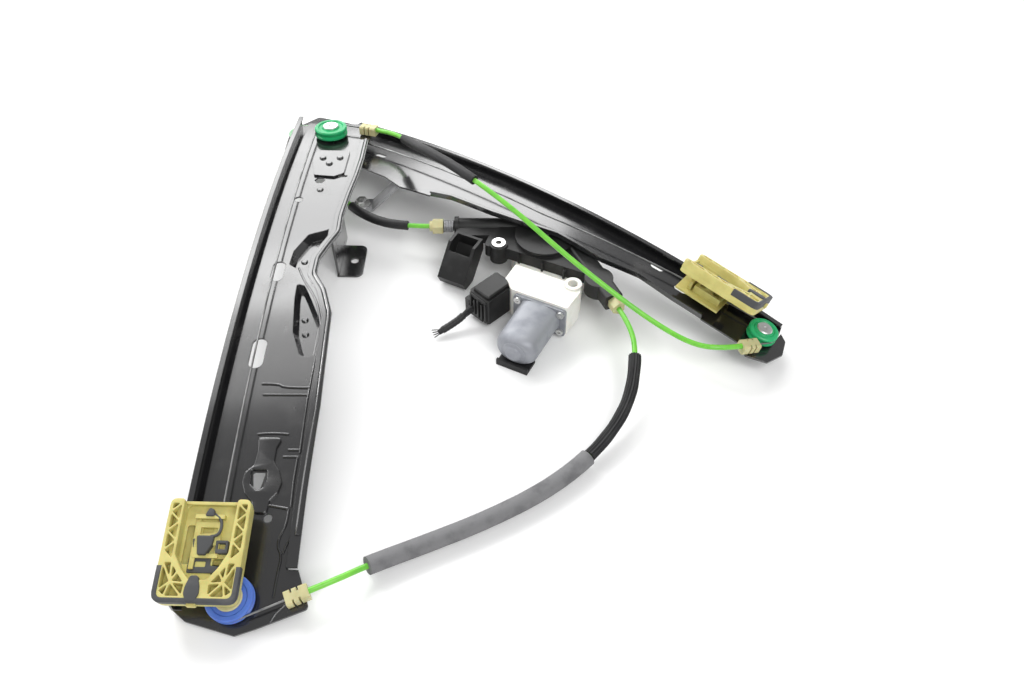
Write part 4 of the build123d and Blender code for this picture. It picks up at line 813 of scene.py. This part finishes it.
DRIVE_AT = (31.0, 82.0, 0.0)
DRIVE_YAW = -27.0
DRIVE = TO_METRES @ Matrix.Translation(ORIGIN + Vector(DRIVE_AT))
DRIVE = DRIVE @ Matrix.Rotation(math.radians(DRIVE_YAW), 4, "Z")
PLUG_AT = (-14.0, -80.0, 0.0)
PLUG_YAW = -18.0
PLUG = DRIVE @ Matrix.Translation(PLUG_AT) @ Matrix.Rotation(math.radians(PLUG_YAW), 4, "Z")
WORM = (32.5, 18.0)
CAN_FRONT = -79.0
CAN_BACK = -129.0
CAN_WIDE = 19.0
CAN_HIGH = 15.0
CAN_SQUARE = 2.7
CAN_ROUND = 8.0
CAN_DROP = 7.0
CAN_DROP_HIGH = 0.55 * CAN_DROP
CAN_ROUND_STEPS = 8
CAN_SIDES = 64
# Lip at the flange: place along the can, half width, half height and squareness of its section.
CAN_LIP = (
    (CAN_FRONT + 0.5, 20.2, 15.4, 2.9),
    (CAN_FRONT - 1.2, 20.0, 15.4, 2.9),
    (CAN_FRONT - 2.4, 19.1, 15.0, 2.9),
)
# Stepped bearing boss: height above the can's end, radius.
CAN_BOSS = (
    (0.0, 10.9), (0.5, 10.5), (1.1, 9.9), (1.3, 8.2), (2.2, 7.6), (3.4, 6.8), (4.0, 5.4), (4.2, 3.0),
    (4.2, 0.05))


def can_form():
    """Drawn motor can: flat-sided barrel with a rounded end and a stepped bearing boss."""
    stations = [*CAN_LIP, (CAN_BACK + CAN_ROUND, CAN_WIDE, CAN_HIGH, CAN_SQUARE)]
    for i in range(1, CAN_ROUND_STEPS + 1):
        part = i / CAN_ROUND_STEPS
        turn = math.radians(90.0 * part)
        closed = 1 - math.cos(turn)
        stations.append((
            CAN_BACK + CAN_ROUND - CAN_ROUND * math.sin(turn), CAN_WIDE - CAN_DROP * closed,
            CAN_HIGH - CAN_DROP_HIGH * closed, CAN_SQUARE - (CAN_SQUARE - 2.0) * part))
    stations += [(CAN_BACK - rise, r, r, 2.0) for rise, r in CAN_BOSS]
    shape = bmesh.new()
    rings = []
    for y, wide, high, power in stations:
        ring = []
        for k in range(CAN_SIDES):
            turn = 2 * math.pi * k / CAN_SIDES
            c, n = math.cos(turn), math.sin(turn)
            x = wide * math.copysign(abs(c) ** (2 / power), c)
            z = high * math.copysign(abs(n) ** (2 / power), n)
            ring.append(shape.verts.new((WORM[0] + x, y, WORM[1] + z)))
        rings.append(ring)
    for near, far in zip(rings, rings[1:]):
        for k in range(CAN_SIDES):
            after = (k + 1) % CAN_SIDES
            shape.faces.new((near[k], near[after], far[after], far[k]))
    mesh = bpy.data.meshes.new("can_form")
    shape.to_mesh(mesh)
    shape.free()
    piece = join([in_scene("can_form", mesh)], "motor_can_form", DRIVE, "motor_steel", 50.0)
    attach(piece, "base")
    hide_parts("motor_can")


def plug_ribs():
    """Ribs and latch teeth on the plug's body."""
    pieces = []
    for i in range(5):
        x = -9.6 + 4.6 * i
        face = [(x, -16.5), (x + 2.2, -16.5), (x + 2.2, -19.6), (x, -19.6)]
        pieces.append(plate(
            "rib_%d" % i, [rounded(face, 0.6)], 9.0 + 2.0 * (i % 2), 31.0 - 3.0 * (i % 2), 0.4))
    for i in range(4):
        y = -12.0 + 7.0 * i
        face = [(-11.5, y), (-14.6, y), (-14.6, y + 2.6), (-11.5, y + 2.6)]
        pieces.append(plate("side_%d" % i, [rounded(face, 0.6)], 8.0, 30.0 - 2.5 * (i % 2), 0.4))
    face = [(-10.5, -14.6), (10.5, -14.6), (10.5, -18.4), (-10.5, -18.4)]
    pieces.append(plate("sill", [rounded(face, 0.8)], 30.0, 33.4, 0.5))
    piece = join(pieces, "connector_ribs", PLUG, "black_plastic")
    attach(piece, "base")


# ---------------------------------------------------------------- rim and beads of rail 1

# Spots on rail 1, as (up the rail, across): its free edge, beads with their radii, and a raised pad.
FREE_EDGE = [
    (24, 79), (61, 80), (92, 79), (125, 76), (157, 74), (180, 75), (198, 68), (216, 62), (236, 62),
    (254, 73), (281, 82), (324, 84), (373, 86), (442, 86), (500, 86.5)]
RIM_R = 2.6
RIM_IN = 2.7
BEAD_STEP = 12
BEADS = (
    ([(225.6, 43.9), (241.5, 51.0), (254.4, 60.2), (269.3, 67.7), (291.4, 73.7), (311.6, 75.1)], 1.0),
    ([(312.6, 74.4), (338, 74.1), (363, 73.8), (389, 74.4), (414, 75.2)], 1.0),
    ([(417.1, 74.1), (436.2, 73.9), (457.8, 74.9)], 1.0),
    ([(459.4, 73.6), (471, 73.9), (478.7, 70.6), (487.7, 69.0), (495, 73.7), (509, 72.2),
      (525, 71.7)], 1.0),
    ([(460, 81.2), (473.9, 81.6), (485.3, 76), (493.5, 74.2)], 0.9),
    ([(352.5, 35.1), (352.1, 49.6), (355.9, 52.7), (355.3, 74.3)], 1.2),
    ([(362.8, 37.8), (362, 74.5)], 1.1),
    ([(411.4, 65.6), (411.2, 74.8)], 1.1),
    ([(417.4, 62.7), (417.1, 74.9)], 1.1),
    ([(456.7, 56.1), (459.4, 72.9)], 1.2),
    ([(398.5, 40.0), (396.8, 52), (398.0, 64.0)], 1.1),
    ([(542.6, 72), (532.1, 75.5), (524.6, 89.0)], 0.8),
)
BOTTLE = [
    (401.6, 41.5), (401.6, 60.5), (409.9, 57.0), (421.7, 57.0), (429.1, 62.0), (438.8, 65.5),
    (447.7, 63.5), (454.2, 58.5), (464, 57.5), (464, 47.5), (455.3, 45.4), (448.4, 38.7), (439.6, 35.4),
    (431.4, 36.0), (425.4, 42.0), (413.6, 43.0)]
TEARDROP = [(429.4, 40.9), (429.2, 52.9), (436.7, 53.8), (443.6, 51.9), (445.9, 47.4), (440.6, 41.8)]


def across_first(route):
    return [(w, a) for a, w in route]


def rim():
    """Rolled rim along the free edge of rail 1."""
    spots = []
    for (a, w), (b, v) in zip(FREE_EDGE, FREE_EDGE[1:]):
        for t in (0.0, 0.34, 0.67):
            spot = on_rail(1, a + (b - a) * t, w + (v - w) * t - RIM_IN, RIM_R)
            spots.append(tuple(spot.translation / MM))
    piece = bar("rail_1_rim", spots, RIM_R)
    piece.data.transform(TO_METRES)
    piece.data.materials.append(FINISHES["black_steel"].material)
    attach(smooth(piece, 60.0), "base")


def bent(piece, rail):
    """Bends a flat piece, drawn across and up the rail, onto the rail's web."""
    for vert in piece.data.vertices:
        x, y, z = vert.co
        vert.co = on_rail(rail, y, x, z).translation
    return piece


def bead(rail, name, route, radius):
    """Round-topped bead pressed along a route of (up the rail, across) spots."""
    spots = []
    for (a, w), (b, v) in zip(route, route[1:]):
        steps = max(1, round(abs(b - a) / BEAD_STEP))
        spots += [(a + (b - a) * k / steps, w + (v - w) * k / steps) for k in range(steps)]
    spots.append(route[-1])
    return bent(bar(name, [(w, a, 0.0) for a, w in spots], radius), rail)


def beads():
    """Beads of rail 1 and the raised pad round its drop-shaped hole."""
    pieces = [bead(1, "bead_%d" % i, route, radius) for i, (route, radius) in enumerate(BEADS)]
    pad = [rounded(across_first(BOTTLE), 3.0), rounded(across_first(TEARDROP), 1.5)]
    pieces.append(bent(plate("bottle", pad, -0.6, 2.2, 0.9), 1))
    piece = join(pieces, "rail_1_beads", Matrix.Identity(4), "black_steel", 60.0)
    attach(piece, "base")


can_form()
plug_ribs()
rim()
beads()
